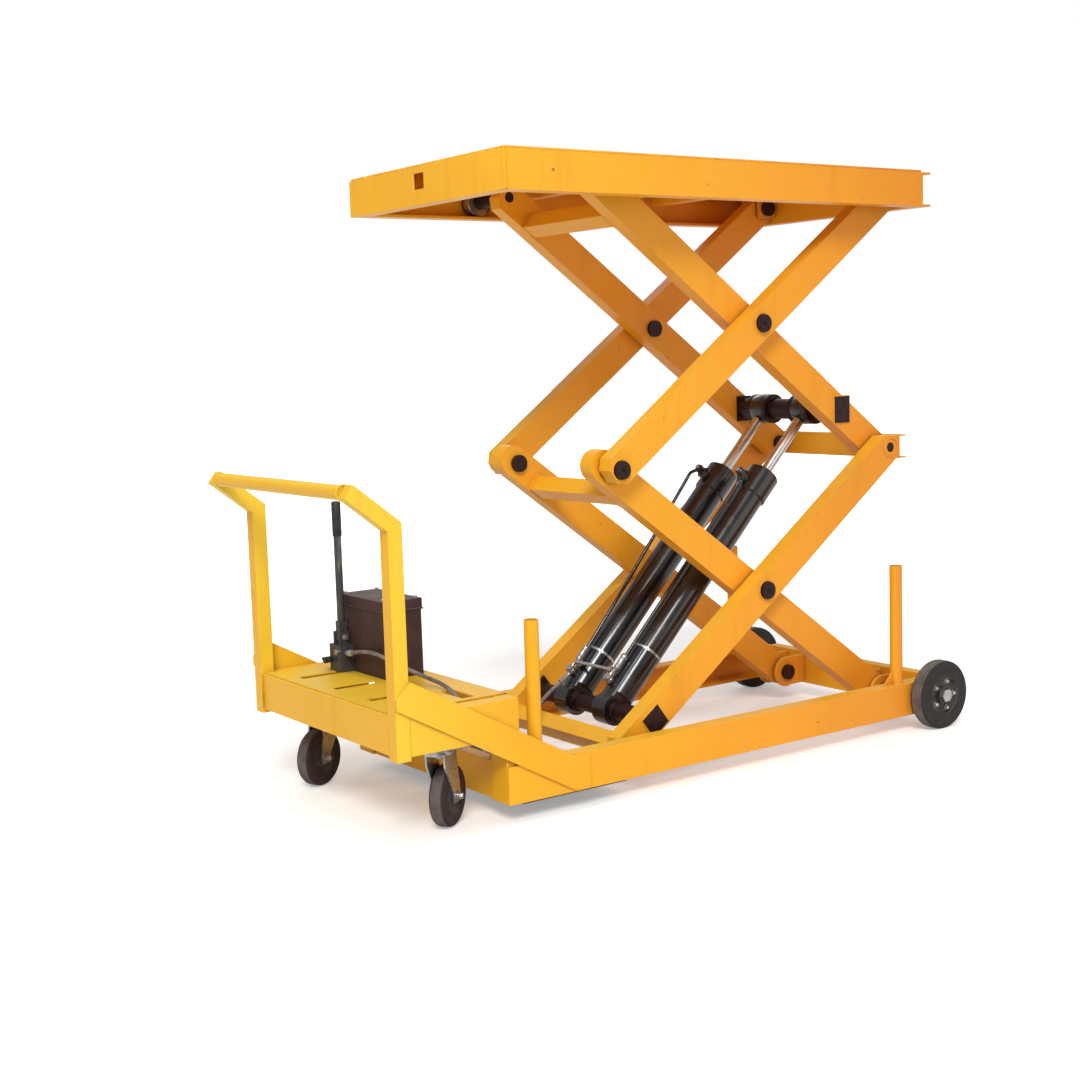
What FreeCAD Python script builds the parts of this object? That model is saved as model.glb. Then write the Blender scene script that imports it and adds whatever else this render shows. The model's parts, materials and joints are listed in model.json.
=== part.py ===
"""Double scissor lift table on wheels, with a hand pump and two hydraulic cylinders.

Frame: X runs along the table with the push handle at -X, Y across it, Z up.
The origin is on the floor, under the middle of the whole object. Units are millimetres.
The table is modelled raised, and every pivot of the scissor has its axis along Y.
"""
import FreeCAD
import Part
import math
import os

V = FreeCAD.Vector

# ---------------------------------------------------------------- driving dimensions
# scissor
ARM_LENGTH = 1300.0          # pivot to pivot
RAISE_ANGLE = 36.2           # arm slope of the raised table, degrees
ARM_HEIGHT = 90.0            # rectangular tube, across the arm
ARM_WIDTH = 50.0
ARM_WALL = 5.0
INNER_ARM_Y = 191.0          # inner face of the inner arms
ARM_GAP = 6.0                # spacer between an inner and an outer arm
FIXED_PIVOT_X = 877.0        # pivots that stay put, at the rear
BASE_PIVOT_Z = 100.0
END_REACH = 30.0             # what an arm's cut end adds beyond its pivot
END_CHAMFER = 24.0
ROUND_NOSE = 17.0            # how far a rounded end's centre lies beyond its pivot
PLUG_LENGTH = 60.0           # solid end of an arm, round its pivot
CROSS_TUBE = 50.0
CROSS_TUBE_WALL = 4.0
LOWER_TUBE_PLACE = (100.0, -18.0)    # along and across its arms, from their front pivots
UPPER_TUBE_PLACE = (110.0, -18.0)
ROLLER_TUBE_PLACE = (8.0, -4.0)
REAR_CHANNEL_DEPTH = 34.0    # channel that joins the rear ends of the lower outer arms
REAR_CHANNEL_HALF = 36.0
REAR_CHANNEL_CLEAR = 38.0    # from the rear pivots to its web, clear of the turning arm ends

# pins
PIN_R = 15.0
HEAD_R = 25.0
HEAD_THICKNESS = 12.0
SPACER_R = 30.0
SPACER_INSET = 0.6           # what a fixed spacer leaves free at a face that turns
RUNNING = 0.05               # radial running clearance of a pin in its hole
BRACKET_PLATE = 10.0
BRACKET_GAP = 5.0
BRACKET_R = 50.0
BASE_BRACKET_Y = 168.0       # inner face of the inner base brackets

# base frame and platform frame
FRAME_HALF_WIDTH = 392.0
CHANNEL_DEPTH = 50.0
CHANNEL_HEIGHT = 100.0
CHANNEL_WEB = 6.0
CHANNEL_FLANGE = 8.0
RAIL_FRONT_X = -630.0
RAIL_REAR_X = 1000.0
RISER_BACK_X = -585.0
RISER_INNER_Y = 312.0
REAR_CROSS_X = 960.0
FLOOR_PLATE_END_X = -250.0
STRUT_THICKNESS = 8.0
STRUT_TOP_Z = 411.9          # top and bottom of a strut at the handle upright
STRUT_LOW_Z = 324.0
STRUT_NOSE = (372.0, 346.0)  # top and bottom where it ends over the upright's front edge
STRUT_TOE_X = -432.0         # where a strut's top edge meets the rail
STRUT_HEEL_X = -424.0        # where its bottom edge ends
STRUT_REAR_X = -378.0
AXLE_R = 14.0
AXLE_BOSS_R = 30.0
PLATFORM_FRONT_X = -583.0
PLATFORM_REAR_X = 915.0
PLATE_THICKNESS = 6.0
ROLLER_R = 41.5
ROLLER_Y = 347.0
ROLLER_WIDTH = 36.0
JOIST_X = (-505.0, -50.0, 230.0, 480.0)
FRONT_HOLE_Y = (-12.0, 40.0)
FRONT_HOLE_Z = (1626.0, 1668.0)
MARK_HOLE_X = -436.0

# pump deck, handle and rest posts
DECK_FRONT_X = -945.0
DECK_REAR_X = -593.0
DECK_BOTTOM_Z = 226.0
DECK_FLANGE = 6.0
DECK_SLOT_X = (-900.0, -770.0)
DECK_SLOT_Y = (-170.0, 20.0, 210.0)
DECK_SLOT = 34.0
HOSE_SLOT = (-716.0, -676.0, -320.0, -212.0)  # x and y limits
HANDLE_TUBE = 40.0
HANDLE_WALL = 3.0
HANDLE_X = -930.0
HANDLE_Y = 372.0
HANDLE_BOTTOM_Z = 216.0
HANDLE_BEND_Z = 788.0
GRIP_X = -1041.5
GRIP_Z = 875.0
GRIP_R = 18.5
GRIP_COVER = 7.5             # how far a bent leg runs past the grip's centre
POST_X = (-530.0, 820.0)
POST_Y = 367.0
POST_R = 19.0
POST_TOP_Z = 514.2
POST_WALL = 3.0
GUSSET = 38.0

# cylinders and their mounts
CYLINDER_Y = 92.0
LOWER_BEAM_HALF = 34.0
UPPER_BEAM_HALF = (32.0, 40.0)
BEAM_PROUD = 3.0
BEAM_BAR_R = 32.0
CHEEK_R = 46.0
CHEEK_THICKNESS = 12.0
BARREL_BOTTOM = 62.0         # inside bottom of the bore, from the lower mount
LOWER_MOUNT = (117.0, -5.0)  # along and across the lower outer arm, from its front pivot
UPPER_MOUNT = (195.0, 8.0)   # along and across the upper inner arm, from its rear pivot
BARREL_R = 45.0
BARREL_BORE_R = 36.0
HEAD_TOP = 885.0             # from the lower mount to the top of the gland head
GLAND_LENGTH = 92.0
GLAND_R = 50.0
ROD_R = 17.0
ROD_LENGTH = 870.0
LOWER_JOURNAL_R = 20.0
UPPER_JOURNAL_R = 12.5
EYE_R = 45.0
EYE_BORE_R = 30.5            # wide clearance round the upper journal
EYE_HALF_WIDTH = 29.0

# wheels
WHEEL_R = 105.0
WHEEL_X = 955.0
WHEEL_Y = (396.0, 440.0)
HUB_R = 60.0
TYRE_SHOULDER = 7.0
AXLE_NUT_R = 21.0            # over the corners
CASTER_R = 80.0
CASTER_WIDTH = 42.0
CASTER_SHOULDER = 12.0
CASTER_TRAIL = 38.0
CASTER_X = -780.0
CASTER_Y = 308.0
CASTER_PLATE_Z = 218.0
CASTER_TURN = {"near": 35.0, "far": 205.0}   # where each wheel trails, degrees from +X
FORK_PLATE = 5.0
FORK_GAP = 1.5
CASTER_AXLE_R = 6.0
KINGPIN_R = 8.0
CASTER_BOLT_R = 5.0
CASTER_BOLT_REACH = (42.0, 44.0)             # from the kingpin, along X and Y

# pump
TANK = (-745.0, -625.0, 16.0, 255.0)         # x and y limits
TANK_TOP_Z = 538.0
LEVER_X = -762.0
LEVER_Y = 221.0
LEVER_PIVOT_Z = 425.0
LEVER_TOP_Z = 800.0
PUMP_BODY_TOP_Z = 404.0
KNOB_Y = 240.0
KNOB_Z = 362.0
TANK_WALL = 3.0
LID_WALL = 2.5
LID_DEPTH = 28.0
LEVER_PIN_R = 6.0
SOCKET_HALF = 12.0
SOCKET_REACH = 44.0          # from the pivot to the top of the lever's socket
LEVER_BAR_R = 10.5
LEVER_GRIP = (11.5, 95.0)    # radius and length
KNOB_STEM_R = 5.0

# hoses: chosen points of each route, from the pump's side to the cylinder's side
HOSE_R = 5.5
FERRULE_R = 8.0
FERRULE_LENGTH = 14.0
PIPE_R = 6.0
PUMP_HOSE = [(-767, 176, 384), (-768, 112, 398), (-767, 46, 405), (-762, -20, 397), (-738, -80, 376),
             (-708, -138, 355), (-694, -200, 344), (-695, -260, 326), (-697, -288, 274), (-683, -294, 222),
             (-647, -284, 188), (-610, -276, 179)]
CYLINDER_HOSE = [(-534, -90, 108), (-468, -92, 106), (-404, -82, 92), (-345, -52, 76), (-290, -12, 74),
                 (-250, 32, 96), (-226, 64, 138), (-194, 82, 176), (-147, 90, 204), (-95, 92, 233)]

# ---------------------------------------------------------------- derived places
OUTER_ARM_Y = INNER_ARM_Y + ARM_WIDTH + ARM_GAP
RISE = ARM_LENGTH * math.sin(math.radians(RAISE_ANGLE))
RUN = ARM_LENGTH * math.cos(math.radians(RAISE_ANGLE))
SLIDING_X = FIXED_PIVOT_X - RUN
MIDDLE_X = FIXED_PIVOT_X - RUN / 2
JOINT_Z = BASE_PIVOT_Z + RISE
PLATFORM_PIVOT_Z = BASE_PIVOT_Z + 2 * RISE
RAIL_BOTTOM_Z = BASE_PIVOT_Z - CHANNEL_HEIGHT / 2
RAIL_TOP_Z = BASE_PIVOT_Z + CHANNEL_HEIGHT / 2
PLATFORM_BOTTOM_Z = PLATFORM_PIVOT_Z - CHANNEL_HEIGHT / 2
PLATFORM_FRAME_TOP_Z = PLATFORM_PIVOT_Z + CHANNEL_HEIGHT / 2
WEB_INSIDE_Y = FRAME_HALF_WIDTH - CHANNEL_WEB
FLANGE_TIP_Y = FRAME_HALF_WIDTH - CHANNEL_DEPTH
DECK_TOP_Z = DECK_BOTTOM_Z + CHANNEL_HEIGHT
DECK_FLOOR_Z = DECK_TOP_Z + 4.0
HANDLE_BACK_X = HANDLE_X + HANDLE_TUBE / 2
REAR_CHANNEL_X = FIXED_PIVOT_X + REAR_CHANNEL_CLEAR


# ---------------------------------------------------------------- shape helpers
def box(x0, x1, y0, y1, z0, z1):
    return Part.makeBox(x1 - x0, y1 - y0, z1 - z0, V(x0, y0, z0))


def rod(start, direction, radius, length):
    return Part.makeCylinder(radius, length, start, direction)


def cross_rod(x, z, y0, y1, radius):
    """Round bar along Y."""
    return rod(V(x, y0, z), V(0, 1, 0), radius, y1 - y0)


def upright_rod(x, y, z0, z1, radius):
    return rod(V(x, y, z0), V(0, 0, 1), radius, z1 - z0)


def outline_solid(points, y0, y1):
    """Prism along Y over a closed outline of (x, z) points."""
    corners = [V(x, y0, z) for x, z in points]
    face = Part.Face(Part.makePolygon(corners + corners[:1]))
    return face.extrude(V(0, y1 - y0, 0))


def union(shapes):
    result = shapes[0]
    for shape in shapes[1:]:
        result = result.fuse(shape)
    return result.removeSplitter()


def mirrored(shape):
    """The same piece on the other side of the table."""
    return shape.mirror(V(0, 0, 0), V(0, 1, 0))


def both_sides(far_shapes):
    """The pieces of the far side (+Y) and their mirror images."""
    return list(far_shapes) + [mirrored(shape) for shape in far_shapes]


def export(node, *shapes):
    solids = [solid for shape in shapes for solid in shape.Solids]
    shape = solids[0] if len(solids) == 1 else Part.makeCompound(solids)
    if not shape.isValid():
        raise ValueError(node + " is not a valid solid")
    shape.exportStep("parts/" + node + ".step")


def channel_along_x(x0, x1, z0, flange):
    """Far-side channel with its web outside and its open side towards the middle."""
    z1 = z0 + CHANNEL_HEIGHT
    body = box(x0, x1, FLANGE_TIP_Y, FRAME_HALF_WIDTH, z0, z1)
    return body.cut(box(x0, x1, FLANGE_TIP_Y, WEB_INSIDE_Y, z0 + flange, z1 - flange))


def channel_across(x_web, x_tip, half_width, z0, z1, web=6.0, flange=6.0):
    """Channel along Y: web at x_web, flange tips at x_tip."""
    side = 1 if x_tip > x_web else -1
    low, high = min(x_web, x_tip), max(x_web, x_tip)
    body = box(low, high, -half_width, half_width, z0, z1)
    gap = sorted((x_web + side * web, x_tip))
    return body.cut(box(gap[0], gap[1], -half_width, half_width, z0 + flange, z1 - flange))


def placed(shape, x, z, slope):
    """Turn a piece drawn along +X so that it rises by slope degrees, then move its origin."""
    moved = shape.copy()
    moved.rotate(V(0, 0, 0), V(0, 1, 0), -slope)
    moved.translate(V(x, 0, z))
    return moved


def on_arm(x, z, slope, along, across):
    """Where a point of an arm lies: along it from (x, z), and across it."""
    c = math.cos(math.radians(slope))
    s = math.sin(math.radians(slope))
    return x + along * c - across * s, z + along * s + across * c


# ---------------------------------------------------------------- scissor arms
def chamfered_end(x, side):
    """Outline points of an arm end with cut corners, from bottom to top."""
    half = ARM_HEIGHT / 2
    tip = x + side * END_REACH
    shoulder = tip - side * END_CHAMFER
    return [(shoulder, -half), (tip, -half + END_CHAMFER), (tip, half - END_CHAMFER), (shoulder, half)]


def arm_tube(y0, right_end="chamfered", left_end="chamfered"):
    """One far-side arm along +X from its front pivot at the origin to its rear pivot."""
    half = ARM_HEIGHT / 2
    left = [(0, -half), (0, half)]
    right = [(ARM_LENGTH, -half), (ARM_LENGTH, half)]
    if left_end == "chamfered":
        left = chamfered_end(0, -1)
    if right_end == "chamfered":
        right = chamfered_end(ARM_LENGTH, 1)
    body = outline_solid(right + left[::-1], y0, y0 + ARM_WIDTH)
    if left_end == "rounded":
        nose = box(-ROUND_NOSE, 0, y0, y0 + ARM_WIDTH, -half, half)
        body = union([body, nose, cross_rod(-ROUND_NOSE, 0, y0, y0 + ARM_WIDTH, half)])
    if right_end == "rounded":
        body = union([body, cross_rod(ARM_LENGTH, 0, y0, y0 + ARM_WIDTH, half)])
    if right_end == "long":
        body = union([body, box(ARM_LENGTH, ARM_LENGTH + 2 * ARM_HEIGHT, y0, y0 + ARM_WIDTH, -half, half)])
    hollow_stretches = ((PLUG_LENGTH, ARM_LENGTH / 2 - PLUG_LENGTH / 2),
                        (ARM_LENGTH / 2 + PLUG_LENGTH / 2, ARM_LENGTH - PLUG_LENGTH))
    inner_half = half - ARM_WALL
    for x0, x1 in hollow_stretches:
        body = body.cut(box(x0, x1, y0 + ARM_WALL, y0 + ARM_WIDTH - ARM_WALL, -inner_half, inner_half))
    return body


def pin_hole(x, z, radius):
    return cross_rod(x, z, 0, FRAME_HALF_WIDTH, radius)


def build_arms():
    """Rising arms ("/") lie outside, falling arms ("\\") lie inside."""
    pressed = PIN_R
    running = PIN_R + RUNNING
    middle_low = (MIDDLE_X, BASE_PIVOT_Z + RISE / 2)
    middle_high = (MIDDLE_X, JOINT_Z + RISE / 2)

    lower_inner = placed(arm_tube(INNER_ARM_Y, "rounded", "rounded"), SLIDING_X, JOINT_Z, -RAISE_ANGLE)
    for x, z, radius in ((*middle_low, pressed), (SLIDING_X, JOINT_Z, pressed),
                         (FIXED_PIVOT_X, BASE_PIVOT_Z, running)):
        lower_inner = lower_inner.cut(pin_hole(x, z, radius))
    lower_inner = lower_inner.cut(cross_tube_body(*LOWER_CROSS_TUBE, -RAISE_ANGLE))

    lower_outer = placed(arm_tube(OUTER_ARM_Y, "long"), SLIDING_X, BASE_PIVOT_Z, RAISE_ANGLE)
    beyond = 2 * ARM_HEIGHT
    lower_outer = lower_outer.cut(box(REAR_CHANNEL_X, REAR_CHANNEL_X + beyond, 0, FRAME_HALF_WIDTH,
                                      JOINT_Z - beyond, JOINT_Z + beyond))
    lower_outer = lower_outer.cut(box(MIDDLE_X, REAR_CHANNEL_X, 0, FRAME_HALF_WIDTH,
                                      JOINT_Z + REAR_CHANNEL_HALF, JOINT_Z + 2 * beyond))
    for x, z, radius in ((*middle_low, running), (SLIDING_X, BASE_PIVOT_Z, pressed),
                         (FIXED_PIVOT_X, JOINT_Z, pressed)):
        lower_outer = lower_outer.cut(pin_hole(x, z, radius))
    lower_outer = lower_outer.cut(lower_beam_plug())

    upper_outer = placed(arm_tube(OUTER_ARM_Y), SLIDING_X, JOINT_Z, RAISE_ANGLE)
    for x, z, radius in ((*middle_high, pressed), (SLIDING_X, JOINT_Z, running),
                         (FIXED_PIVOT_X, PLATFORM_PIVOT_Z, pressed)):
        upper_outer = upper_outer.cut(pin_hole(x, z, radius))

    upper_inner = placed(arm_tube(INNER_ARM_Y), SLIDING_X, PLATFORM_PIVOT_Z, -RAISE_ANGLE)
    for x, z, radius in ((*middle_high, running), (SLIDING_X, PLATFORM_PIVOT_Z, pressed),
                         (FIXED_PIVOT_X, JOINT_Z, running)):
        upper_inner = upper_inner.cut(pin_hole(x, z, radius))
    upper_inner = upper_inner.cut(upper_beam_plug())

    arms = {"lower_inner_arm": lower_inner, "lower_outer_arm": lower_outer,
            "upper_outer_arm": upper_outer, "upper_inner_arm": upper_inner}
    for name, arm in arms.items():
        export(name + "_far", arm)
        export(name + "_near", mirrored(arm))


# ---------------------------------------------------------------- members between the arms
LOWER_CROSS_TUBE = on_arm(SLIDING_X, JOINT_Z, -RAISE_ANGLE, *LOWER_TUBE_PLACE)
UPPER_CROSS_TUBE = on_arm(SLIDING_X, PLATFORM_PIVOT_Z, -RAISE_ANGLE, *UPPER_TUBE_PLACE)
ROLLER_CROSS_TUBE = on_arm(SLIDING_X, BASE_PIVOT_Z, RAISE_ANGLE, *ROLLER_TUBE_PLACE)


def cross_tube_body(x, z, slope, half_width=INNER_ARM_Y):
    """Square tube across the table, turned with the arms that it joins."""
    half = CROSS_TUBE / 2
    inside = half - CROSS_TUBE_WALL
    tube = box(-half, half, -half_width, half_width, -half, half)
    tube = tube.cut(box(-inside, inside, -half_width, half_width, -inside, inside))
    return placed(tube, x, z, slope)


def build_cross_members():
    export("lower_inner_cross_tube", cross_tube_body(*LOWER_CROSS_TUBE, -RAISE_ANGLE))
    export("upper_inner_cross_tube", cross_tube_body(*UPPER_CROSS_TUBE, -RAISE_ANGLE))
    export("roller_cross_tube", cross_tube_body(*ROLLER_CROSS_TUBE, RAISE_ANGLE, OUTER_ARM_Y))
    export("rear_arm_channel",
           channel_across(REAR_CHANNEL_X, REAR_CHANNEL_X + REAR_CHANNEL_DEPTH, OUTER_ARM_Y + ARM_WIDTH,
                          JOINT_Z - REAR_CHANNEL_HALF, JOINT_Z + REAR_CHANNEL_HALF, 5.0, 5.0))


# ---------------------------------------------------------------- cylinder mounts
LOWER_MOUNT_XZ = on_arm(SLIDING_X, BASE_PIVOT_Z, RAISE_ANGLE, *LOWER_MOUNT)
UPPER_MOUNT_XZ = on_arm(FIXED_PIVOT_X, JOINT_Z, 180 - RAISE_ANGLE, UPPER_MOUNT[0], -UPPER_MOUNT[1])


def lower_beam_plug():
    """Square end of the lower mount, through the far outer arm and a little proud of it."""
    plug = box(-LOWER_BEAM_HALF, LOWER_BEAM_HALF, OUTER_ARM_Y - 6, OUTER_ARM_Y + ARM_WIDTH + BEAM_PROUD,
               -LOWER_BEAM_HALF, LOWER_BEAM_HALF)
    return placed(plug, *LOWER_MOUNT_XZ, RAISE_ANGLE)


def upper_beam_plug():
    """Upright rectangular end of the upper mount, through the far inner arm."""
    x, z = UPPER_MOUNT_XZ
    return box(x - UPPER_BEAM_HALF[0], x + UPPER_BEAM_HALF[0], INNER_ARM_Y - 6,
               INNER_ARM_Y + ARM_WIDTH + BEAM_PROUD, z - UPPER_BEAM_HALF[1], z + UPPER_BEAM_HALF[1])


def stepped_bar(x, z, steps):
    """Round bar across the table, from (outer y, radius) steps on the far side outwards."""
    start = 0.0
    pieces = []
    for end, radius in steps:
        pieces.append(cross_rod(x, z, start, end, radius))
        start = end
    pieces += [mirrored(piece) for piece in pieces]
    return pieces


def build_cylinder_mounts():
    inner = CYLINDER_Y - EYE_HALF_WIDTH - 1.0
    outer = CYLINDER_Y + EYE_HALF_WIDTH + 1.0
    lower = stepped_bar(*LOWER_MOUNT_XZ, ((inner - CHEEK_THICKNESS, 26.0), (inner, BEAM_BAR_R),
                                          (outer, LOWER_JOURNAL_R), (outer + CHEEK_THICKNESS, BEAM_BAR_R),
                                          (OUTER_ARM_Y - 6, 26.0)))
    export("lower_cylinder_beam", union(lower + both_sides([lower_beam_plug()])))
    upper = stepped_bar(*UPPER_MOUNT_XZ, ((inner - CHEEK_THICKNESS, BEAM_BAR_R), (inner, CHEEK_R),
                                          (outer, UPPER_JOURNAL_R), (outer + CHEEK_THICKNESS, CHEEK_R),
                                          (INNER_ARM_Y - 6, BEAM_BAR_R)))
    export("upper_cylinder_beam", union(upper + both_sides([upper_beam_plug()])))


# ---------------------------------------------------------------- cylinders
MOUNT_SPAN = math.dist(LOWER_MOUNT_XZ, UPPER_MOUNT_XZ)
CYLINDER_SLOPE = math.degrees(math.atan2(UPPER_MOUNT_XZ[1] - LOWER_MOUNT_XZ[1],
                                         UPPER_MOUNT_XZ[0] - LOWER_MOUNT_XZ[0]))


def along_cylinder(start, end, radius):
    return rod(V(start, CYLINDER_Y, 0), V(1, 0, 0), radius, end - start)


def eye(x, bore):
    low, high = CYLINDER_Y - EYE_HALF_WIDTH, CYLINDER_Y + EYE_HALF_WIDTH
    return cross_rod(x, 0, low, high, EYE_R), cross_rod(x, 0, low, high, bore)


def build_cylinders():
    gland_start = HEAD_TOP - GLAND_LENGTH
    base_eye, base_bore = eye(0, LOWER_JOURNAL_R + RUNNING)
    shell = along_cylinder(0, gland_start, BARREL_R)
    trimmed = shell.cut(along_cylinder(BARREL_BOTTOM, gland_start, BARREL_BORE_R))
    for y in (CYLINDER_Y + EYE_HALF_WIDTH, CYLINDER_Y - 2 * EYE_R):
        trimmed = trimmed.cut(box(-EYE_R, EYE_R, y, y + 2 * EYE_R - EYE_HALF_WIDTH, -EYE_R, EYE_R))
    port = rod(V(62, CYLINDER_Y, BARREL_R - 6), V(0, 0, 1), 13.0, 16.0)
    barrel = union([trimmed, base_eye, port]).cut(base_bore)

    gland = along_cylinder(gland_start, HEAD_TOP, GLAND_R)
    gland = gland.makeChamfer(4.0, [gland.Edges[0], gland.Edges[2]])
    nipple = rod(V(gland_start + 34, CYLINDER_Y, 0), V(0, 0, 1), 12.0, GLAND_R + 18)
    gland = union([gland, nipple]).cut(along_cylinder(gland_start, HEAD_TOP, ROD_R + RUNNING))

    piston_front = MOUNT_SPAN - ROD_LENGTH
    rod_eye, rod_bore = eye(MOUNT_SPAN, EYE_BORE_R)
    piston = along_cylinder(piston_front - 40, piston_front, BARREL_BORE_R - 0.1)
    ram = union([along_cylinder(piston_front, MOUNT_SPAN, ROD_R), piston, rod_eye]).cut(rod_bore)

    pieces = {"cylinder_barrels": barrel, "cylinder_gland_heads": gland, "cylinder_rods": ram}
    for node, piece in pieces.items():
        export(node, *both_sides([placed(piece, *LOWER_MOUNT_XZ, CYLINDER_SLOPE)]))


# ---------------------------------------------------------------- pins, shafts and rollers
def pin(x, z, steps):
    """Far-side pin: round steps of (from y, to y, radius), joined into one solid."""
    return union([cross_rod(x, z, y0, y1, radius) for y0, y1, radius in steps])


def arm_pin(x, z, outer_head=True, inner_head=True):
    """Pin through an inner and an outer arm, with a spacer collar in the gap."""
    low, high = INNER_ARM_Y, OUTER_ARM_Y + ARM_WIDTH
    steps = [(low - 1, high, PIN_R),
             (INNER_ARM_Y + ARM_WIDTH + SPACER_INSET, OUTER_ARM_Y - SPACER_INSET, SPACER_R)]
    if outer_head:
        steps += [(high, high + 1, PIN_R), (high + SPACER_INSET, high + HEAD_THICKNESS, HEAD_R)]
    if inner_head:
        steps += [(low - HEAD_THICKNESS, low - SPACER_INSET, HEAD_R)]
    return pin(x, z, steps)


def roller_shaft(x, z, arm_face):
    """Shaft from an arm's outside face to its roller, with a thicker stretch between them."""
    return pin(x, z, [(arm_face - ARM_WIDTH, ROLLER_Y + ROLLER_WIDTH + 1.5, PIN_R),
                      (arm_face, ROLLER_Y - SPACER_INSET, 22.0)])


def build_pins_and_rollers():
    low_middle = BASE_PIVOT_Z + RISE / 2
    high_middle = JOINT_Z + RISE / 2
    export("lower_scissor_pins", *both_sides([arm_pin(MIDDLE_X, low_middle), arm_pin(SLIDING_X, JOINT_Z)]))
    export("lower_outer_shafts", *both_sides([
        roller_shaft(SLIDING_X, BASE_PIVOT_Z, OUTER_ARM_Y + ARM_WIDTH),
        arm_pin(FIXED_PIVOT_X, JOINT_Z, outer_head=False)]))
    plate_in = OUTER_ARM_Y - BRACKET_GAP - BRACKET_PLATE
    plate_out = OUTER_ARM_Y + ARM_WIDTH + BRACKET_GAP
    platform_pin = pin(FIXED_PIVOT_X, PLATFORM_PIVOT_Z, [
        (plate_in - 1, plate_out + BRACKET_PLATE + 1, PIN_R),
        (plate_in - HEAD_THICKNESS, plate_in - SPACER_INSET, HEAD_R),
        (plate_in + BRACKET_PLATE + SPACER_INSET, OUTER_ARM_Y, HEAD_R),
        (OUTER_ARM_Y + ARM_WIDTH, plate_out - SPACER_INSET, HEAD_R),
        (plate_out + BRACKET_PLATE + SPACER_INSET, plate_out + BRACKET_PLATE + 8, HEAD_R)])
    export("upper_scissor_pins", *both_sides([arm_pin(MIDDLE_X, high_middle), platform_pin]))
    export("upper_roller_shafts",
           *both_sides([roller_shaft(SLIDING_X, PLATFORM_PIVOT_Z, INNER_ARM_Y + ARM_WIDTH)]))

    for node, z in (("base_rollers", BASE_PIVOT_Z), ("platform_rollers", PLATFORM_PIVOT_Z)):
        wheel = cross_rod(SLIDING_X, z, ROLLER_Y, ROLLER_Y + ROLLER_WIDTH, ROLLER_R)
        wheel = wheel.makeChamfer(2.0, [wheel.Edges[0], wheel.Edges[2]])
        export(node, *both_sides([wheel.cut(pin_hole(SLIDING_X, z, PIN_R + RUNNING))]))


# ---------------------------------------------------------------- base frame
def build_base_rails():
    rail = channel_along_x(RISER_BACK_X, RAIL_REAR_X, RAIL_BOTTOM_Z, CHANNEL_FLANGE)
    skin = box(RAIL_FRONT_X, RISER_BACK_X, WEB_INSIDE_Y, FRAME_HALF_WIDTH, RAIL_BOTTOM_Z, RAIL_TOP_Z)
    boss = cross_rod(WHEEL_X, WHEEL_R, FLANGE_TIP_Y, WEB_INSIDE_Y, AXLE_BOSS_R)
    rail = union([rail, skin, boss])
    rail = rail.cut(cross_rod(WHEEL_X, WHEEL_R, FLANGE_TIP_Y, FRAME_HALF_WIDTH, AXLE_R))
    export("base_rail_far", rail)
    export("base_rail_near", mirrored(rail))


def build_base_cross_members():
    export("base_cross_channels",
           channel_across(RAIL_FRONT_X + 8, RISER_BACK_X, RISER_INNER_Y, RAIL_BOTTOM_Z, RAIL_TOP_Z),
           channel_across(REAR_CROSS_X, RAIL_REAR_X, FLANGE_TIP_Y, RAIL_BOTTOM_Z, RAIL_TOP_Z + 8))
    export("base_floor_plate", box(RISER_BACK_X, FLOOR_PLATE_END_X, -WEB_INSIDE_Y, WEB_INSIDE_Y,
                                   RAIL_BOTTOM_Z - 4, RAIL_BOTTOM_Z))


def build_risers():
    """Upright channels that carry the deck, web forwards, one at each front corner."""
    body = box(RAIL_FRONT_X, RISER_BACK_X, RISER_INNER_Y, WEB_INSIDE_Y, RAIL_BOTTOM_Z, DECK_BOTTOM_Z)
    hollow = box(RAIL_FRONT_X + 6, RISER_BACK_X, RISER_INNER_Y + 6, WEB_INSIDE_Y - 6,
                 RAIL_BOTTOM_Z, DECK_BOTTOM_Z)
    export("front_risers", *both_sides([body.cut(hollow)]))


def build_struts():
    """Sloped side plates from the handle uprights down to the base rails."""
    handle_front_x = HANDLE_X - HANDLE_TUBE / 2
    outline = [(HANDLE_BACK_X, STRUT_TOP_Z), (STRUT_TOE_X, RAIL_TOP_Z), (STRUT_REAR_X, RAIL_TOP_Z),
               (STRUT_REAR_X, RAIL_BOTTOM_Z + 4), (STRUT_HEEL_X, RAIL_BOTTOM_Z + 4),
               (HANDLE_BACK_X, STRUT_LOW_Z), (handle_front_x, STRUT_NOSE[1]), (handle_front_x, STRUT_NOSE[0])]
    export("side_struts", *both_sides([
        outline_solid(outline, FRAME_HALF_WIDTH, FRAME_HALF_WIDTH + STRUT_THICKNESS)]))


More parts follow.
